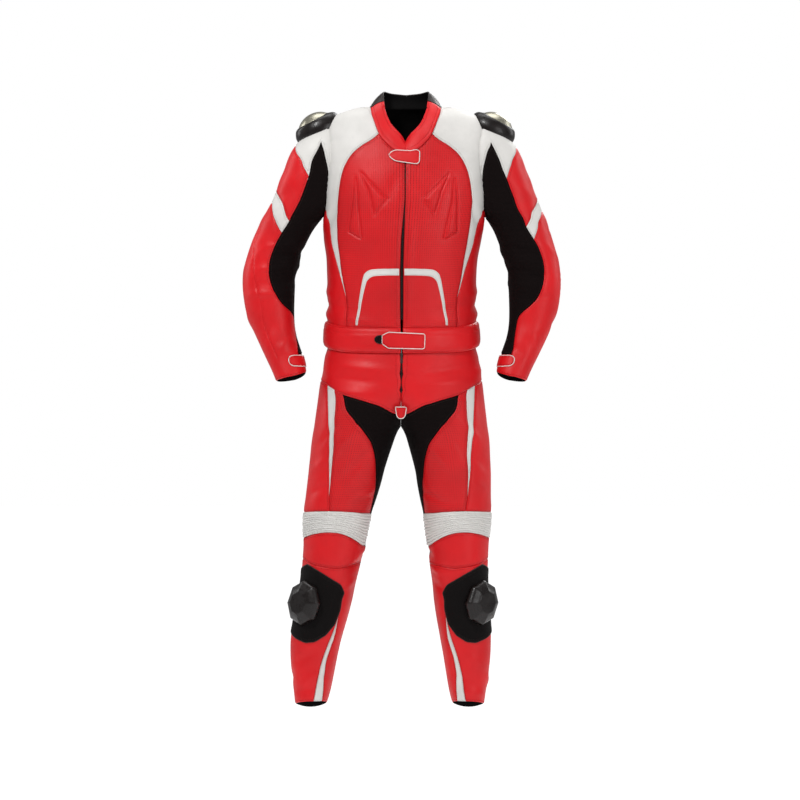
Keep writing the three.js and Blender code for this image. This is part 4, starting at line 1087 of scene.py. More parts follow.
def swept(name, line, radius, material, closed=False, sides=8):
    """A round cord along a line, as for piping."""
    line = np.asarray(line, float)
    count = len(line)
    if closed:
        tangent = np.roll(line, -1, 0) - np.roll(line, 1, 0)
    else:
        tangent = np.gradient(line, axis=0)
    tangent = unit(tangent)
    up = np.where(np.abs(tangent[:, 2:3]) > 0.8, (0.0, 1.0, 0.0), (0.0, 0.0, 1.0))
    side = unit(np.cross(tangent, up))
    up = np.cross(side, tangent)
    turns = np.linspace(0, 2 * np.pi, sides, endpoint=False)
    rings = line[:, None] + radius * (np.cos(turns)[None, :, None] * side[:, None]
                                      + np.sin(turns)[None, :, None] * up[:, None])
    faces = []
    for i in range(count if closed else count - 1):
        after = (i + 1) % count
        for k in range(sides):
            other = (k + 1) % sides
            faces.append((i * sides + k, i * sides + other, after * sides + other, after * sides + k))
    if not closed:
        faces.append(tuple(range(sides))[::-1])
        faces.append(tuple((count - 1) * sides + k for k in range(sides)))
    new_object(name, rings.reshape(-1, 3), faces, [material])


PIPING_STEP = 3.0
PIPING_PLACE = 0.6        # height of the piping's middle, as a share of the strap's thickness


def strap(name, tube, outline, low, look, rests_on, edge="piping", mirrored=False, radius=1.1, sewing=(3.6,)):
    """A strap that lies on the suit, with piping round its edge."""
    cut = Cut(tube, outline, step=4.0, seam=0)
    panel(name, tube, cut, look, base=low + APPLIED, inner=low, mirrored=mirrored, drop=0.5, sewing=sewing,
          held="laid", rests_on=rests_on)
    line = refined(cut.loop, PIPING_STEP, closed=True)
    place = placed(on_tube(tube, line, low + APPLIED * PIPING_PLACE), mirrored)
    material, slot = LOOKS[edge][:2]
    swept("piping_" + name, place, radius, material, closed=True, sides=6)


NECK_STRAP = [
    (-38, -91), (-33, -83), (-22, -79), (12, -81), (28, -77.5), (34, -83), (33, -109), (27, -112),
    (-22, -105), (-33, -98),
]
NECK_STRAP_OUT = 2.2
BELT_STRAP = [
    (-45, -513), (-31, -505), (10, -507), (53, -509), (52, -545), (10, -544), (-31, -543), (-45, -532),
]
BELT_TAB = [(-45.5, -513), (-45.5, -532), (-54, -532), (-60, -528), (-62, -522), (-60, -516), (-54, -513)]
BELT_OUT = BAND_OUT + BAND_BULGE + 0.4


def fine_outline(points, step=6.0):
    """The outline as seen from the front, with points close enough to bend with the tube."""
    return refined(np.array(points, float), step, closed=True).tolist()


def make_straps():
    strap("neck_strap", torso, torso.seen(fine_outline(NECK_STRAP)), NECK_STRAP_OUT, "red",
          ["cloth_chest_left", "cloth_chest_right"])
    strap("belt_strap", torso, torso.seen(fine_outline(BELT_STRAP)), BELT_OUT, "red", ["cloth_waistband"])
    strap("belt_tab", torso, torso.seen(fine_outline(BELT_TAB)), BELT_OUT, "hook", ["cloth_waistband"],
          edge="black")


# Zips: two tapes, rows of teeth and a slider with its pull

TOOTH = (2.4, 1.5, 1.3)
TOOTH_PITCH = 3.0
TOOTH_SIDE = 0.9          # how far a tooth is from the zip's middle
TOOTH_LIFT = 0.7
PULLER_LIFT = 1.6

# The slider, its pull and the pull's end: places along, out of and up the zip, and sizes
PULLER = (((0, 0, 0), (6.0, 2.6, 9.0)), ((0, 1.9, -9), (4.2, 1.0, 15.0)), ((0, 1.9, -17), (5.6, 1.2, 5.0)))


def box_mesh(centres, axes, sizes):
    """Boxes joined into one mesh: their centres, three unit axes each, and sizes."""
    corners = np.array([(x, y, z) for x in (-0.5, 0.5) for y in (-0.5, 0.5) for z in (-0.5, 0.5)])
    quads = np.array([(0, 1, 3, 2), (4, 6, 7, 5), (0, 4, 5, 1), (2, 3, 7, 6), (0, 2, 6, 4), (1, 5, 7, 3)])
    vertices, faces = [], []
    for centre, axis, size in zip(centres, axes, sizes):
        faces.append(quads + 8 * len(vertices))
        vertices.append(np.asarray(centre) + (corners * size) @ np.asarray(axis))
    return np.concatenate(vertices), np.concatenate(faces)


def upright_axes(tube, spot):
    """Unit axes at a flat place of the tube: level and sideways, inward, and up."""
    normal = tube.normal(np.array([spot[0] / tube.flat]), np.array([spot[1]]))[0]
    side = unit(np.cross(normal, (0, 0, 1.0)))
    return side, -normal, np.cross(side, -normal)


def zip_at(name, tube, line, depth, half_tape, node, puller, rests_on):
    """A closed zip down a line of flat places, sunk by the depth. puller is the number of the tooth at it."""
    left = line - (half_tape, 0)
    right = line + (half_tape, 0)
    outline = [(p[0] / tube.flat, p[1]) for p in np.concatenate([left, right[::-1]])]
    cut = Cut(tube, outline, step=4.0, seam=0)
    panel(node, tube, cut, "tape", base=depth, inner=depth - 1.0, drop=0.0, sewing=(), rests_on=rests_on)
    centres, axes, sizes = [], [], []
    spots = refined(line, TOOTH_PITCH)
    for i, spot in enumerate(spots):
        axis = upright_axes(tube, spot)
        across = TOOTH_SIDE if i % 2 else -TOOTH_SIDE
        place = on_tube(tube, spot[None], depth + TOOTH_LIFT)[0] + axis[0] * across
        centres.append(placed(place[None], False)[0])
        axes.append(axis)
        sizes.append(TOOTH)
    if puller is not None:
        axis = upright_axes(tube, spots[puller])
        base = placed(on_tube(tube, spots[puller][None], depth + PULLER_LIFT), False)[0]
        for (sideways, outward, up), size in PULLER:
            centres.append(base + axis[0] * sideways - axis[1] * outward + axis[2] * up)
            axes.append(axis)
            sizes.append(size)
    vertices, faces = box_mesh(centres, axes, sizes)
    new_object(name, vertices, faces, [zip_metal], smooth=False)


ZIP_TOP, ZIP_FOOT = -94, -474
FLY_TOP, FLY_FOOT = -560, -668
ZIP_DEPTH, ZIP_HALF = -3.8, 9
FLY_DEPTH, FLY_HALF = -4.0, 8
FLY_PULLER = 4


def make_zips():
    heights = np.linspace(ZIP_TOP, ZIP_FOOT, 60)
    zip_at("zip_teeth", torso, np.stack([0 * heights, heights], 1), ZIP_DEPTH, ZIP_HALF, "jacket_zip", None,
           ["cloth_chest_left", "cloth_chest_right"])
    middle = leg.seen([(0, z) for z in np.linspace(FLY_TOP, FLY_FOOT, 30)])
    line = np.array([(angle * leg.flat, z) for angle, z in middle])
    zip_at("fly_teeth", leg, line, FLY_DEPTH, FLY_HALF, "fly_zip", FLY_PULLER,
           ["cloth_pelvis_left", "cloth_pelvis_right"])


# Collar: columns from the neck seam to the top edge

COLLAR = table("x z topX topY topZ", [
    (0.6, -80, 0.6, -66, -60), (13, -78, 10, -66, -44), (32, -67, 21, -64, -32), (50, -49, 33, -59, -19),
    (59, -36, 40.5, -53, -6), (66, -19, 46, -45, 7), (71, -5, 49.5, -37, 18), (76, 9, 51.5, -28, 30),
    (79, 24, 52.5, -20, 38),
])
COLLAR_BACK = table("angle z topX topY topZ", [
    (90, 28.5, 54, 0, 56), (112, 27.5, 52, 18, 61), (130, 26, 45, 33, 60), (150, 25, 31, 45, 57),
    (180, 25, 0, 52, 54),
])
COLLAR_THICK = 3.0
COLLAR_BULGE = 5.0
COLLAR_SINK = -0.14       # how far the collar runs on below the neck seam, as a share of its height
COLLAR_STEP = 3.0
COLLAR_ROUNDING = 0.14    # share of the height over which the top edge is rounded
COLLAR_RIPPLE = 0.6


def collar_columns():
    """Feet and tops of the collar from the front middle to the back middle, on the wearer's left."""
    feet, tops = [], []
    for i in range(len(COLLAR["z"])):
        angle, z = torso.seen([(COLLAR["x"][i], COLLAR["z"][i])])[0]
        feet.append(torso.point(np.array([angle]), np.array([z]))[0])
        tops.append((COLLAR["topX"][i], COLLAR["topY"][i], COLLAR["topZ"][i]))
    for i in range(len(COLLAR_BACK["z"])):
        feet.append(torso.point(COLLAR_BACK["angle"][i:i + 1], COLLAR_BACK["z"][i:i + 1])[0])
        tops.append((COLLAR_BACK["topX"][i], COLLAR_BACK["topY"][i], COLLAR_BACK["topZ"][i]))
    return np.array(feet), np.array(tops)


def curve_through(points, step):
    """Even points, a step apart, on a smooth curve, and where the given points are along it."""
    line = np.array(Line(points).dense)
    place = running_length(line)
    return refined(line, step), place[::Line.STEPS] / place[-1]


def wall_between(node, feet, tops, look, mirrored, sewn):
    """A standing band from its feet to its tops, bulging outward, with rounded top and hollow back."""
    levels = np.concatenate([[COLLAR_SINK], np.linspace(0.0, 0.9, 9), [0.96, 1.0]])
    columns = len(feet)
    up = tops - feet
    tall = np.linalg.norm(up, axis=1)
    along = np.gradient(feet + tops, axis=0)
    out = unit(np.cross(along, up))
    profile = np.sin(np.pi * np.clip(levels, 0, 1)) * COLLAR_BULGE * 0.5
    rounding = np.clip((levels - 1 + COLLAR_ROUNDING) / COLLAR_ROUNDING, 0, 1)
    thick = COLLAR_THICK * np.sqrt(np.clip(1 - rounding ** 2, 0.02, 1))
    middle = feet[:, None] + up[:, None] * levels[None, :, None]
    along = np.arange(columns) * COLLAR_STEP
    wave = COLLAR_RIPPLE * np.sin(along / 17.0) * np.sin(along / 41.0)
    shift = profile[None] + wave[:, None] * np.sin(np.pi * levels)[None]
    outer = middle + out[:, None] * (shift + thick[None] / 2)[..., None]
    inner = middle + out[:, None] * (shift - thick[None] / 2)[..., None]
    rows = len(levels)
    vertices = np.concatenate([outer.reshape(-1, 3), inner.reshape(-1, 3)])
    base = columns * rows
    faces, looks = [], []

    def quad(a, b, c, d, look_index):
        faces.append((a, b, c, d) if not mirrored else (d, c, b, a))
        looks.append(look_index)

    for i in range(columns - 1):
        for k in range(rows - 1):
            a, b = i * rows + k, (i + 1) * rows + k
            quad(a, b, b + 1, a + 1, 0)
            quad(base + a + 1, base + b + 1, base + b, base + a, 1)
        quad(i * rows + rows - 1, (i + 1) * rows + rows - 1, base + (i + 1) * rows + rows - 1,
             base + i * rows + rows - 1, 0)
        quad(base + i * rows, base + (i + 1) * rows, (i + 1) * rows, i * rows, 0)
    for k in range(rows - 1):
        last = (columns - 1) * rows
        quad(k, k + 1, base + k + 1, base + k, 0)
        quad(base + last + k, base + last + k + 1, last + k + 1, last + k, 0)
    place = running_length(feet)
    flat = np.stack([np.repeat(place, rows), (levels[None] * tall[:, None]).ravel()], 1)
    material, slot, thread = LOOKS[look]
    obj = new_object("cloth_" + node, placed(vertices, mirrored), faces, [material, lining], looks,
                     np.concatenate([flat, flat]))
    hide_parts(node)
    for share in sewn:
        lift = np.interp(share, levels, profile) + np.interp(share, levels, thick) / 2 + STITCH_LIFT
        spots = feet + up * share + out * lift
        normals = out * ((-1, 1, 1) if mirrored else (1, 1, 1))
        stitch_row(thread, placed(spots, mirrored), normals)


COLLAR_SPLIT_COLUMN = len(COLLAR["z"]) - 1


def make_collar():
    feet, tops = collar_columns()
    dense_feet, foot_marks = curve_through(feet, COLLAR_STEP)
    parameter = np.linspace(0, 1, len(dense_feet))
    top_line = np.array(Line(tops).dense)
    numbers = np.arange(len(top_line))
    top_share = np.interp(parameter, foot_marks, np.arange(len(feet))) * Line.STEPS
    dense_tops = np.stack([np.interp(top_share, numbers, top_line[:, i]) for i in range(3)], 1)
    split = int(np.searchsorted(parameter, foot_marks[COLLAR_SPLIT_COLUMN]))
    for side, mirrored in PAIR_SIDES:
        wall_between(f"collar_red_{side}", dense_feet[:split], dense_tops[:split], "red", mirrored,
                     (0.12, 0.8))
        rim = placed(dense_tops[:split], mirrored)
        swept(f"piping_collar_{side}", rim, 1.7, red)
    back_feet = np.concatenate([dense_feet[split:], (dense_feet[split:-1] * (-1, 1, 1))[::-1]])
    back_tops = np.concatenate([dense_tops[split:], (dense_tops[split:-1] * (-1, 1, 1))[::-1]])
    wall_between("collar_black", back_feet, back_tops, "black", False, (0.1, 0.86))
    swept("piping_collar_black", placed(back_tops, False), 1.8, black_leather)


# Sleeves

# Seams as seen from the front, and for the forearm as angles and heights: the two arms are turned differently
SLEEVE_SEAMS = {
    "left": {
        "black": [
            (201, -58), (209, -74), (222, -103), (238, -144), (246, -166), (256, -192), (271, -224),
            (288, -257), (308, -286), (321, -308), (330, -331), (335, -358), (333, -385), (322, -417),
            (301, -442), (273, -468), (266, -498), (262, -525), (257, -555),
        ],
        "wedge": [(201, -58), (191, -86), (184, -112), (180, -140)],
        "cap": ([(242, -132), (248, -115), (256, -93)], (90, -68)),
        "stripe_top": ([(297, -239), (303, -216)], (90, -192)),
        "stripe_low": ([(316, -260), (319, -240)], (90, -218)),
        "forearm": [(88, -262), (100, -290), (96, -335), (88, -389), (80, -443), (78, -497), (75, -560)],
    },
    "right": {
        "black": [
            (197, -56), (204, -74), (219, -104), (226, -138), (238, -173), (247, -196), (258, -220),
            (268, -243), (284, -271), (299, -302), (309, -331), (311.5, -356), (308, -385), (296, -414),
            (275.5, -441), (254, -464), (250, -490), (246, -520), (241, -555),
        ],
        "wedge": [(197, -56), (188, -88), (181, -118), (178, -142)],
        "cap": ([(231, -130), (238.5, -117), (249, -93)], (90, -64)),
        "stripe_top": ([(280, -223), (292, -196)], (90, -174)),
        "stripe_low": ([(297, -252), (307, -232)], (90, -198)),
        "forearm": [(64, -262), (61, -290), (42, -335), (27, -389), (16, -443), (21, -497), (20, -560)],
    },
}
CAP_END, STRIPE_START, STRIPE_END = 3, 7, 8
BLACK_BEHIND = Line(sleeve.seen([
    (199, -52), (207, -78), (219, -105), (228, -134), (237, -190), (249, -246), (256, -279),
], behind=True) + [(222, -340), (230, -400), (235, -480), (235, -555)])
BEHIND_CAP, BEHIND_START, BEHIND_END, BEHIND_CUFF = 3, 5, 6, 10
REAR_CAP = [(236, -126), (242, -110), (248, -96), (254, -82)]
REAR_TOP = [(282, -228), (294, -208)]
REAR_LOW = [(302, -253), (309, -232)]
WEDGE_BEHIND = Line(sleeve.seen([(199, -52), (192, -80), (185, -105), (178, -135)], behind=True))
CAP_INSIDE = [(214, -120), (214, -3), (-34, -3), (-34, -120)]
CUFF = Line([
    (-90, -596), (-45, -600), (0, -607), (45, -614), (90, -619), (135, -621), (180, -618), (225, -608),
    (270, -596),
])
CUFF_STRAP = [(236, -559), (250, -558), (261, -560), (265, -566), (263, -577), (255, -583), (236, -584)]
CUFF_STRAP_BACK = [(-125, -584), (-125, -559)]
SHOULDER_CENTRE, SHOULDER_REACH = (203, 3, -27), (58, 44, 36)
INSERT_CENTRE, INSERT_REACH = (207, 2, -25), (46, 38, 38)
SHOULDER_TURN = 27


def make_sleeve(side, mirrored, folds):
    seams = SLEEVE_SEAMS[side]
    black = Line(sleeve.seen(seams["black"]))
    wedge = Line(sleeve.seen(seams["wedge"]))

    def round_seam(kind, number, rear, behind_number):
        """The seam round the outside, from a point of the front line to one of the line behind. The table has
        its points in front and where it crosses the outer side."""
        front, outer_spot = seams[kind]
        middle = sleeve.seen(front) + [outer_spot] + sleeve.seen(rear, behind=True)[::-1]
        return Line([black.spot(number)] + middle + [BLACK_BEHIND.spot(behind_number)]).part()

    def piece(name, look, outline, rests_on, more_seams=(), **options):
        cut = sleeve_cut(outline, more_seams)
        panel(f"{name}_{side}", sleeve, cut, look, folds=folds, mirrored=mirrored,
              rests_on=[f"cloth_{rests_on}_{side}"], keep_stitch=below_armhole, **options)

    cap_seam = round_seam("cap", CAP_END, REAR_CAP, BEHIND_CAP)
    top_seam = round_seam("stripe_top", STRIPE_START, REAR_TOP, BEHIND_START)
    low_seam = round_seam("stripe_low", STRIPE_END, REAR_LOW, BEHIND_END)
    piece("sleeve_cap", "white",
          black.part(0, CAP_END)[:-1] + cap_seam + BLACK_BEHIND.part(BEHIND_CAP, 0)[1:]
          + WEDGE_BEHIND.part()[1:] + CAP_INSIDE + wedge.back()[:-1], "shoulder_yoke")
    piece("sleeve_upper", "red",
          black.part(CAP_END, STRIPE_START)[:-1] + top_seam
          + BLACK_BEHIND.part(BEHIND_START, BEHIND_CAP)[1:-1] + cap_seam[::-1][:-1], "sleeve_cap")
    piece("sleeve_stripe", "white",
          black.part(STRIPE_START, STRIPE_END)[:-1] + low_seam
          + BLACK_BEHIND.part(BEHIND_END, BEHIND_START)[1:-1] + top_seam[::-1][:-1], "sleeve_upper",
          sewing=(2.8,))
    forearm_seam = np.array([(angle * sleeve.flat, z) for angle, z in Line(seams["forearm"]).part()])
    piece("sleeve_forearm", "red",
          black.part(STRIPE_END) + [(-90, -555)] + CUFF.part() + [(270, -555)]
          + BLACK_BEHIND.part(BEHIND_CUFF, BEHIND_END)[:-1] + low_seam[::-1][:-1], "sleeve_stripe",
          [forearm_seam])
    behind = BLACK_BEHIND.back() + WEDGE_BEHIND.part()[1:]
    piece("sleeve_inner", "stretch",
          wedge.back() + black.part()[1:] + [(angle - 360, z) for angle, z in behind], "sleeve_forearm")


def make_sleeves():
    for (side, mirrored), folds in zip(PAIR_SIDES, ARM_FOLDS):
        make_sleeve(side, mirrored, folds)
        outline = sleeve.seen(refined(np.array(CUFF_STRAP, float), 5.0).tolist()) + CUFF_STRAP_BACK
        strap(f"cuff_strap_{side}", sleeve, outline, TRIM_GAP, "red", [f"cloth_sleeve_forearm_{side}"],
              mirrored=mirrored)
        make_shoulder(side, mirrored)


DOME_END = 0.62           # how far from its top a dome goes down, as a share of half a turn


def dome_mesh(centre, reach, turn, rings=28, around=64, facets=None):
    """The upper part of an ellipsoid, turned about the depth axis, with its facets if it has any."""
    c, s = math.cos(math.radians(turn)), math.sin(math.radians(turn))
    spin = np.array([(c, 0, s), (0, 1, 0), (-s, 0, c)])
    vertices = [(0, 0, 1.0)]
    for k in range(1, rings + 1):
        polar = math.pi * DOME_END * k / rings
        for i in range(around):
            azimuth = 2 * math.pi * i / around
            vertices.append((math.sin(polar) * math.cos(azimuth), math.sin(polar) * math.sin(azimuth),
                             math.cos(polar)))
    vertices = np.array(vertices)
    if facets is not None:
        vertices = facets(vertices)
    vertices = (vertices * reach) @ spin.T + np.array(centre)
    faces = [(0, 1 + i, 1 + (i + 1) % around) for i in range(around)]
    for k in range(rings - 1):
        for i in range(around):
            a, b = 1 + k * around + i, 1 + k * around + (i + 1) % around
            faces.append((a, a + around, b + around, b))
    rim = 1 + (rings - 1) * around
    faces.append(tuple(rim + i for i in range(around))[::-1])
    return vertices, faces


SEAT_REACH = 0.72         # of the insert's place on the shoulder slider, as a share of its own reach


def shoulder_ridges(ball):
    """A raised frame with a step, round the place of the insert."""
    away = np.hypot(ball[:, 0] / SEAT_REACH, ball[:, 1] / SEAT_REACH)
    lift = 1 - 0.05 / (1 + np.exp((away - 1) * 30)) + 0.03 * np.exp(-((away - 1.16) / 0.13) ** 2)
    return ball * lift[:, None]


def make_shoulder(side, mirrored):
    for kind, centre, reach, material, slot, facets in (
        ("slider", SHOULDER_CENTRE, SHOULDER_REACH, slider_plastic, "slider_plastic", shoulder_ridges),
        ("insert", INSERT_CENTRE, INSERT_REACH, metal, "insert_metal", None),
    ):
        vertices, faces = dome_mesh(centre, reach, SHOULDER_TURN, facets=facets)
        if mirrored:
            faces = [f[::-1] for f in faces]
        obj = new_object(f"shoulder_{kind}_form_{side}", placed(vertices, mirrored), faces, [material])
        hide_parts(f"shoulder_{kind}_{side}")


# Trousers: the middle of the suit is where the two legs' tubes meet, above the crotch

MIDDLE_SEAM = 0.12        # half the gap between the two legs' panels
MIDDLE_TOP, CROTCH = -500, -726.5


def middle_line():
    """Down the front to the crotch and up the back, in flat places."""
    spots = leg.seen([(MIDDLE_SEAM, z) for z in np.linspace(MIDDLE_TOP, CROTCH, 90)])
    front_side = [(a * leg.flat, z) for a, z in spots]
    back_side = [((-180 - a) * leg.flat, z) for a, z in spots]
    return np.array(front_side + back_side[::-1])


leg_middle = middle_line()
leg_middle_behind = leg_middle + (360 * leg.flat, 0)


def beside_middle(flat):
    return leg.place(flat)[:, 0] > MIDDLE_SEAM


def leg_cut(outline):
    return Cut(leg, outline, fences=[leg_middle, leg_middle_behind], keeps=beside_middle, flush=True)


V_SEAM = Line(leg.seen([
    (-6, -702), (22, -693), (82, -667), (137, -650), (156, -639), (174, -628), (188, -619),
]))
V_BLACK, V_STRIPE, V_OUTER = 3, 4, 5
TROUSER_TOP = -506
SIDE, V_SIDE, INNER = 97, -616, -92
BLACK_THIGH = Line(leg.seen([
    (137, -650), (129, -684), (111, -708), (86, -738), (67, -766), (58, -796), (54.5, -827), (54, -865),
    (57, -893), (63, -929),
]))
STRIPE_IN = Line(leg.seen([(156, -639), (155, -682), (157, -766), (161, -837), (163, -889)]))
STRIPE_OUT = Line(leg.seen([(174, -628), (173, -667), (169, -752), (166, -830), (163, -889)]))
BAND_CORNER = leg.seen([(160, -923)])[0]
KNEE_TOP = Line([BAND_CORNER] + leg.seen([(128, -924), (100, -926), (80, -928), (63, -929)]))
KNEE_BOTTOM = Line([(SIDE, -985)] + leg.seen([
    (216, -985), (185, -975), (152, -973), (120, -979), (94, -992), (79, -1003)]) + [(INNER, -1005)])
KNEE_LOW = Line([(SIDE, -1036)] + leg.seen([
    (216, -1036), (198, -1047), (161, -1055), (130, -1057), (88, -1048)]) + [(INNER, -1046)])
BLACK_LOW = [(INNER, -932), (INNER, -1005), (INNER, -1046), (-92, -1090), (-100, -1170)]
BLACK_BACK_LOW = [(-125, -1090), (-130, -1000), (-130, -930), (-128, -860)]
BLACK_BACK_HIGH = [(60, -780), (40, -720), (-6, -692)]
BLACK_BACK = Line([(-100, -1170)] + BLACK_BACK_LOW
                  + [(a - 360, z) for a, z in leg.seen(BLACK_BACK_HIGH, behind=True)])
SHIN_IN = Line(leg.seen([(125, -1172), (132, -1220), (148, -1270), (154, -1310), (158, -1369)]))
SHIN_OUT = Line(leg.seen([(178, -1369), (168, -1310), (157, -1267), (138, -1215), (125, -1172)]))
HEM = Line([(-100, -1372), (0, -1369), (SIDE, -1377), (180, -1386), (260, -1376)])
CROTCH_TAB = [(-13, -679), (13, -679), (10, -700), (5, -706), (-5, -706), (-10, -700)]
PATCH = [
    (204, -1048), (160, -1074), (124.5, -1096), (116, -1114), (121, -1130), (123, -1154), (134, -1188),
    (153, -1213), (178, -1229), (200, -1231), (220, -1222),
]
PATCH_SIDE = [(100, -1200), (118, -1165), (118, -1100), (95, -1062)]
RIB_COUNT = 11
RIB_HEIGHT = 4.2
RIB_DEPTH = 2.2


def band_ribs(flat):
    """Height of the accordion ribs, which run across the knee and spread with the band."""
    angle = flat[:, 0] / leg.flat
    top = np.interp(flat[:, 0], KNEE_TOP_FLAT[:, 0], KNEE_TOP_FLAT[:, 1])
    low = np.interp(flat[:, 0], KNEE_LOW_EDGE_FLAT[:, 0], KNEE_LOW_EDGE_FLAT[:, 1])
    share = (top - flat[:, 1]) / np.maximum(top - low, 1)
    count = RIB_COUNT * share + 0.10 * np.sin(angle / 17.0) + 0.05 * np.sin(angle / 6.1 + 1.7)
    wave = np.abs(np.sin(np.pi * count)) ** 0.75
    uneven = 0.85 + 0.15 * np.sin(2.4 * np.floor(count) + angle / 29.0)
    return RIB_HEIGHT * wave * uneven - RIB_DEPTH


def ordered_flat(spots):
    places = np.array([(a * leg.flat, z) for a, z in spots])
    return places[np.argsort(places[:, 0])]


KNEE_TOP_FLAT = ordered_flat(KNEE_TOP.dense + [(SIDE, -926)])
KNEE_LOW_EDGE_FLAT = ordered_flat(KNEE_BOTTOM.dense)


def make_trousers():
    fly_side = leg.seen([(2.6, -506), (2.6, -560), (3.6, -602), (3.2, -640), (0.9, -682), (0.6, -700)])
    pelvis = leg_cut(fly_side + V_SEAM.part()[4:] + [(SIDE, V_SIDE), (SIDE, TROUSER_TOP)])
    panels("pelvis", leg, pelvis, "red", TROUSER_FOLDS, keep_stitch=beside_middle, hangs_on="cloth_waistband")
    thigh = Cut(leg, V_SEAM.part(V_BLACK, V_STRIPE) + STRIPE_IN.part()[1:] + [BAND_CORNER]
                + KNEE_TOP.part()[1:] + BLACK_THIGH.back()[1:-1], step=5.5)
    panels("thigh_front", leg, thigh, "perforated", TROUSER_FOLDS, sewing=(2.8, 6.0), rests_on=["pelvis"])
    stripe = Cut(leg, V_SEAM.part(V_STRIPE, V_OUTER) + STRIPE_OUT.part()[1:] + STRIPE_IN.back()[1:-1],
                 step=5.5)
    panels("thigh_stripe", leg, stripe, "white", TROUSER_FOLDS, sewing=(2.6,), rests_on=["pelvis"])
    behind_middle = leg.seen([(-14, TROUSER_TOP), (-14, -600)], behind=True)
    back_seam = [(a + 360, z) for a, z in BLACK_BACK.back()]
    thigh_back = leg_cut(
        V_SEAM.part(V_OUTER) + [(SIDE, V_SIDE), (SIDE, TROUSER_TOP), (140, TROUSER_TOP)] + behind_middle
        + back_seam[:-Line.STEPS * 2] + [(SIDE, -1000), (SIDE, -926), BAND_CORNER]
        + STRIPE_OUT.back()[:-1])
    panels("thigh_back", leg, thigh_back, "red", TROUSER_FOLDS, keep_stitch=beside_middle,
           rests_on=["pelvis"])
    crotch = leg_cut(V_SEAM.part(0, V_BLACK) + BLACK_THIGH.part()[1:] + BLACK_LOW[:-1] + BLACK_BACK.part())
    panels("crotch", leg, crotch, "stretch", TROUSER_FOLDS, keep_stitch=beside_middle, rests_on=["pelvis"])
    band = Cut(leg, KNEE_TOP.back() + [(SIDE, -926)] + KNEE_BOTTOM.part() + [(INNER, -932)], step=1.45)
    panels("knee_band", leg, band, "white", raised=band_ribs, base=1.0, sewing=(), drop=1.6,
           rests_on=["thigh_front"])
    knee = Cut(leg, KNEE_BOTTOM.part() + KNEE_LOW.back(), step=5.0)
    panels("knee_panel", leg, knee, "red", TROUSER_FOLDS, sewing=(2.4, 5.4), rests_on=["knee_band"])
    shin = Cut(leg, KNEE_LOW.part() + [(-92, -1090), (-100, -1170), HEM.dense[0]] + shin_foot()
               + [(SIDE, -1377)])
    panels("shin", leg, shin, "red", TROUSER_FOLDS, rests_on=["knee_panel"])
    strip = Cut(leg, SHIN_IN.part() + SHIN_OUT.part()[:-1], step=5.0)
    panels("shin_stripe", leg, strip, "white", TROUSER_FOLDS, sewing=(2.4,), rests_on=["shin"])
    calf_back = [(a + 360, z) for a, z in BLACK_BACK.part(0, 2)[::-1]]
    calf = Cut(leg, [(SIDE, -1000)] + calf_back + HEM.part(4, 2))
    panels("calf", leg, calf, "red", TROUSER_FOLDS, rests_on=["shin"])


def shin_foot():
    """The hem of the shin panel, with the notch that the stripe fills."""
    inner = [spot for spot in HEM.part(0, 2)[1:] if spot[0] < SHIN_IN.dense[-1][0]]
    outer = [spot for spot in HEM.part(0, 2) if spot[0] > SHIN_OUT.dense[0][0]]
    return inner + SHIN_IN.back() + SHIN_OUT.back()[1:] + outer[:-1]


KNEE_ANGLE, KNEE_Z = 43, -1138
KNEE_REACH = (48, 51, 25)
KNEE_CROWN = 0.86         # height of the flat crown, as a share of its reach
FACETS = 8
FACETS_FROM = 0.55        # polar angle at which they begin
FACET_REACH = 0.94
FOOT_STEP = 0.03


def knee_facets(ball):
    """A puck with a flat crown, a ring of broad facets and a stepped foot."""
    azimuth = np.arctan2(ball[:, 1], ball[:, 0])
    polar = np.arccos(np.clip(ball[:, 2], -1, 1))
    sector = 2 * math.pi / FACETS
    within = (azimuth + math.pi) % sector - sector / 2
    scale = np.where(polar > FACETS_FROM, FACET_REACH / np.cos(within), 1.0)
    across = np.sin(polar)
    wide = across * scale * (1 + FOOT_STEP / (1 + np.exp(-(across - 0.86) * 60)))
    up = np.minimum(np.cos(polar), KNEE_CROWN)
    return np.stack([wide * np.cos(azimuth), wide * np.sin(azimuth), up], 1)


def make_knees():
    for side, mirrored in PAIR_SIDES:
        outline = leg.seen(refined(np.array(PATCH, float), 6.0).tolist()) + PATCH_SIDE
        strap(f"knee_patch_{side}", leg, outline, TRIM_GAP, "hook", [f"cloth_shin_{side}"], edge="black",
              mirrored=mirrored, radius=1.2, sewing=(3.5, 6.5))
        spot = np.array([float(KNEE_ANGLE)]), np.array([float(KNEE_Z)])
        foot, normal = leg.point(*spot)[0], leg.normal(*spot)[0]
        across = unit(np.cross((0, 0, 1.0), normal))
        axes = np.stack([across, np.cross(normal, across), normal])
        vertices, faces = dome_mesh((0, 0, 0), KNEE_REACH, 0, facets=knee_facets, rings=36, around=96)
        vertices = vertices @ axes + foot
        if mirrored:
            faces = [f[::-1] for f in faces]
        obj = new_object(f"knee_slider_form_{side}", placed(vertices, mirrored), faces, [slider_plastic])
        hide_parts(f"knee_slider_{side}")


def make_crotch_tab():
    strap("crotch_tab", tab_tube, tab_tube.seen(fine_outline(CROTCH_TAB, 4.0)), 1.0, "red",
          ["cloth_pelvis_left", "cloth_pelvis_right"], sewing=(3.0,))


# The tab lies across the middle, on a section as wide as both legs
TAB_TUBE = table("z half front back", [
    (-660, 198, 119, 119), (-680, 198, 117, 117), (-700, 198, 115.5, 115.5), (-715, 198, 114, 114),
])
tab_tube = Tube(TAB_TUBE, 3.0)


# Lights, floor and camera, in metres

WORLD_LIGHT = 0.36
LIGHT_AIM = (-0.014, 0, -0.66)

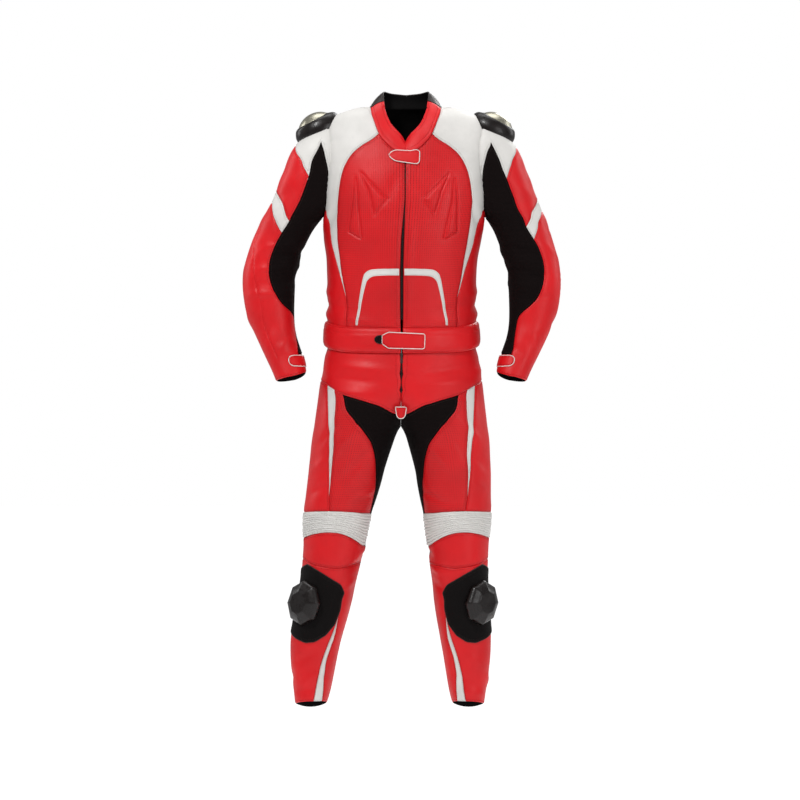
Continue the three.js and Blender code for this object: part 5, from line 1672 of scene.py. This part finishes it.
# Name, place, size and power of each light
STUDIO_LIGHTS = (
    ("key", (-1.7, -3.2, 2.9), (0.9, 1.2), 122.0),
    ("fill", (2.6, -3.8, 0.4), (1.6, 2.4), 46.0),
    ("back", (1.8, 3.4, 2.2), (1.6, 2.0), 80.0),
    ("rim_left", (-3.2, 1.0, 0.8), (1.0, 2.2), 26.0),
    ("rim_right", (3.2, 1.0, 0.8), (1.0, 2.2), 26.0),
    ("top", (0.0, 0.6, 4.5), (4.0, 3.0), 120.0),
)

FLOOR = -1.75
FLOOR_GLOW = 0.8
FLOOR_REACH = 60.0
CAMERA_PLACE = (-0.0141, -18.0, -0.6627)
CAMERA_LENS = 344.7


def camera_light(look_tree):
    """1 for what the camera sees directly and 0 for what lights the suit."""
    return look_tree.nodes.new("ShaderNodeLightPath").outputs["Is Camera Ray"]


def make_world():
    world = bpy.data.worlds.new("studio")
    bpy.context.scene.world = world
    world.use_nodes = True
    nodes, links = world.node_tree.nodes, world.node_tree.links
    lit = nodes["Background"]
    lit.inputs["Color"].default_value = (1, 1, 1, 1)
    lit.inputs["Strength"].default_value = WORLD_LIGHT
    seen = nodes.new("ShaderNodeBackground")
    seen.inputs["Color"].default_value = (1, 1, 1, 1)
    mixed = nodes.new("ShaderNodeMixShader")
    links.new(camera_light(world.node_tree), mixed.inputs[0])
    links.new(lit.outputs[0], mixed.inputs[1])
    links.new(seen.outputs[0], mixed.inputs[2])
    links.new(mixed.outputs[0], nodes["World Output"].inputs["Surface"])


def make_lights_and_stage():
    make_world()
    for name, place, size, power in STUDIO_LIGHTS:
        light = bpy.data.lights.new(name, "AREA")
        light.shape = "RECTANGLE"
        light.size, light.size_y = size
        light.energy = power
        lamp = bpy.data.objects.new(name, light)
        lamp.location = place
        lamp.rotation_euler = (Vector(LIGHT_AIM) - Vector(place)).to_track_quat("-Z", "Y").to_euler()
        bpy.context.scene.collection.objects.link(lamp)
    look = Look("pale_floor", roughness=0.9, specular=0.1)
    mottle = look.noise(look.place(), 3.0, 2.0)
    paper = look.finish(look.mix(mottle, (0.86, 0.86, 0.86), (0.9, 0.9, 0.9)))
    look.shader.inputs["Emission Color"].default_value = (1, 1, 1, 1)
    glow = look.math("MULTIPLY", camera_light(look.tree), FLOOR_GLOW)
    look.link(glow, look.shader.inputs["Emission Strength"])
    mesh = bpy.data.meshes.new("floor")
    corners = ((-1, -1), (1, -1), (1, 1), (-1, 1))
    mesh.from_pydata([(x * FLOOR_REACH, y * FLOOR_REACH, FLOOR) for x, y in corners], [], [(0, 1, 2, 3)])
    mesh.materials.append(paper)
    floor = bpy.data.objects.new("floor", mesh)
    bpy.context.scene.collection.objects.link(floor)


def make_camera():
    camera = bpy.data.cameras.new("camera")
    camera.lens = CAMERA_LENS
    camera.sensor_width = 36
    camera.clip_end = 200
    eye = bpy.data.objects.new("camera", camera)
    eye.location = CAMERA_PLACE
    eye.rotation_euler = (math.pi / 2, 0, 0)
    bpy.context.scene.collection.objects.link(eye)
    bpy.context.scene.camera = eye
    bpy.context.scene.view_settings.view_transform = "Standard"


def main():
    make_jacket()
    make_waistband()
    make_collar()
    make_straps()
    make_zips()
    make_sleeves()
    make_trousers()
    make_knees()
    make_crotch_tab()
    make_stitches()
    make_lights_and_stage()
    make_camera()


main()
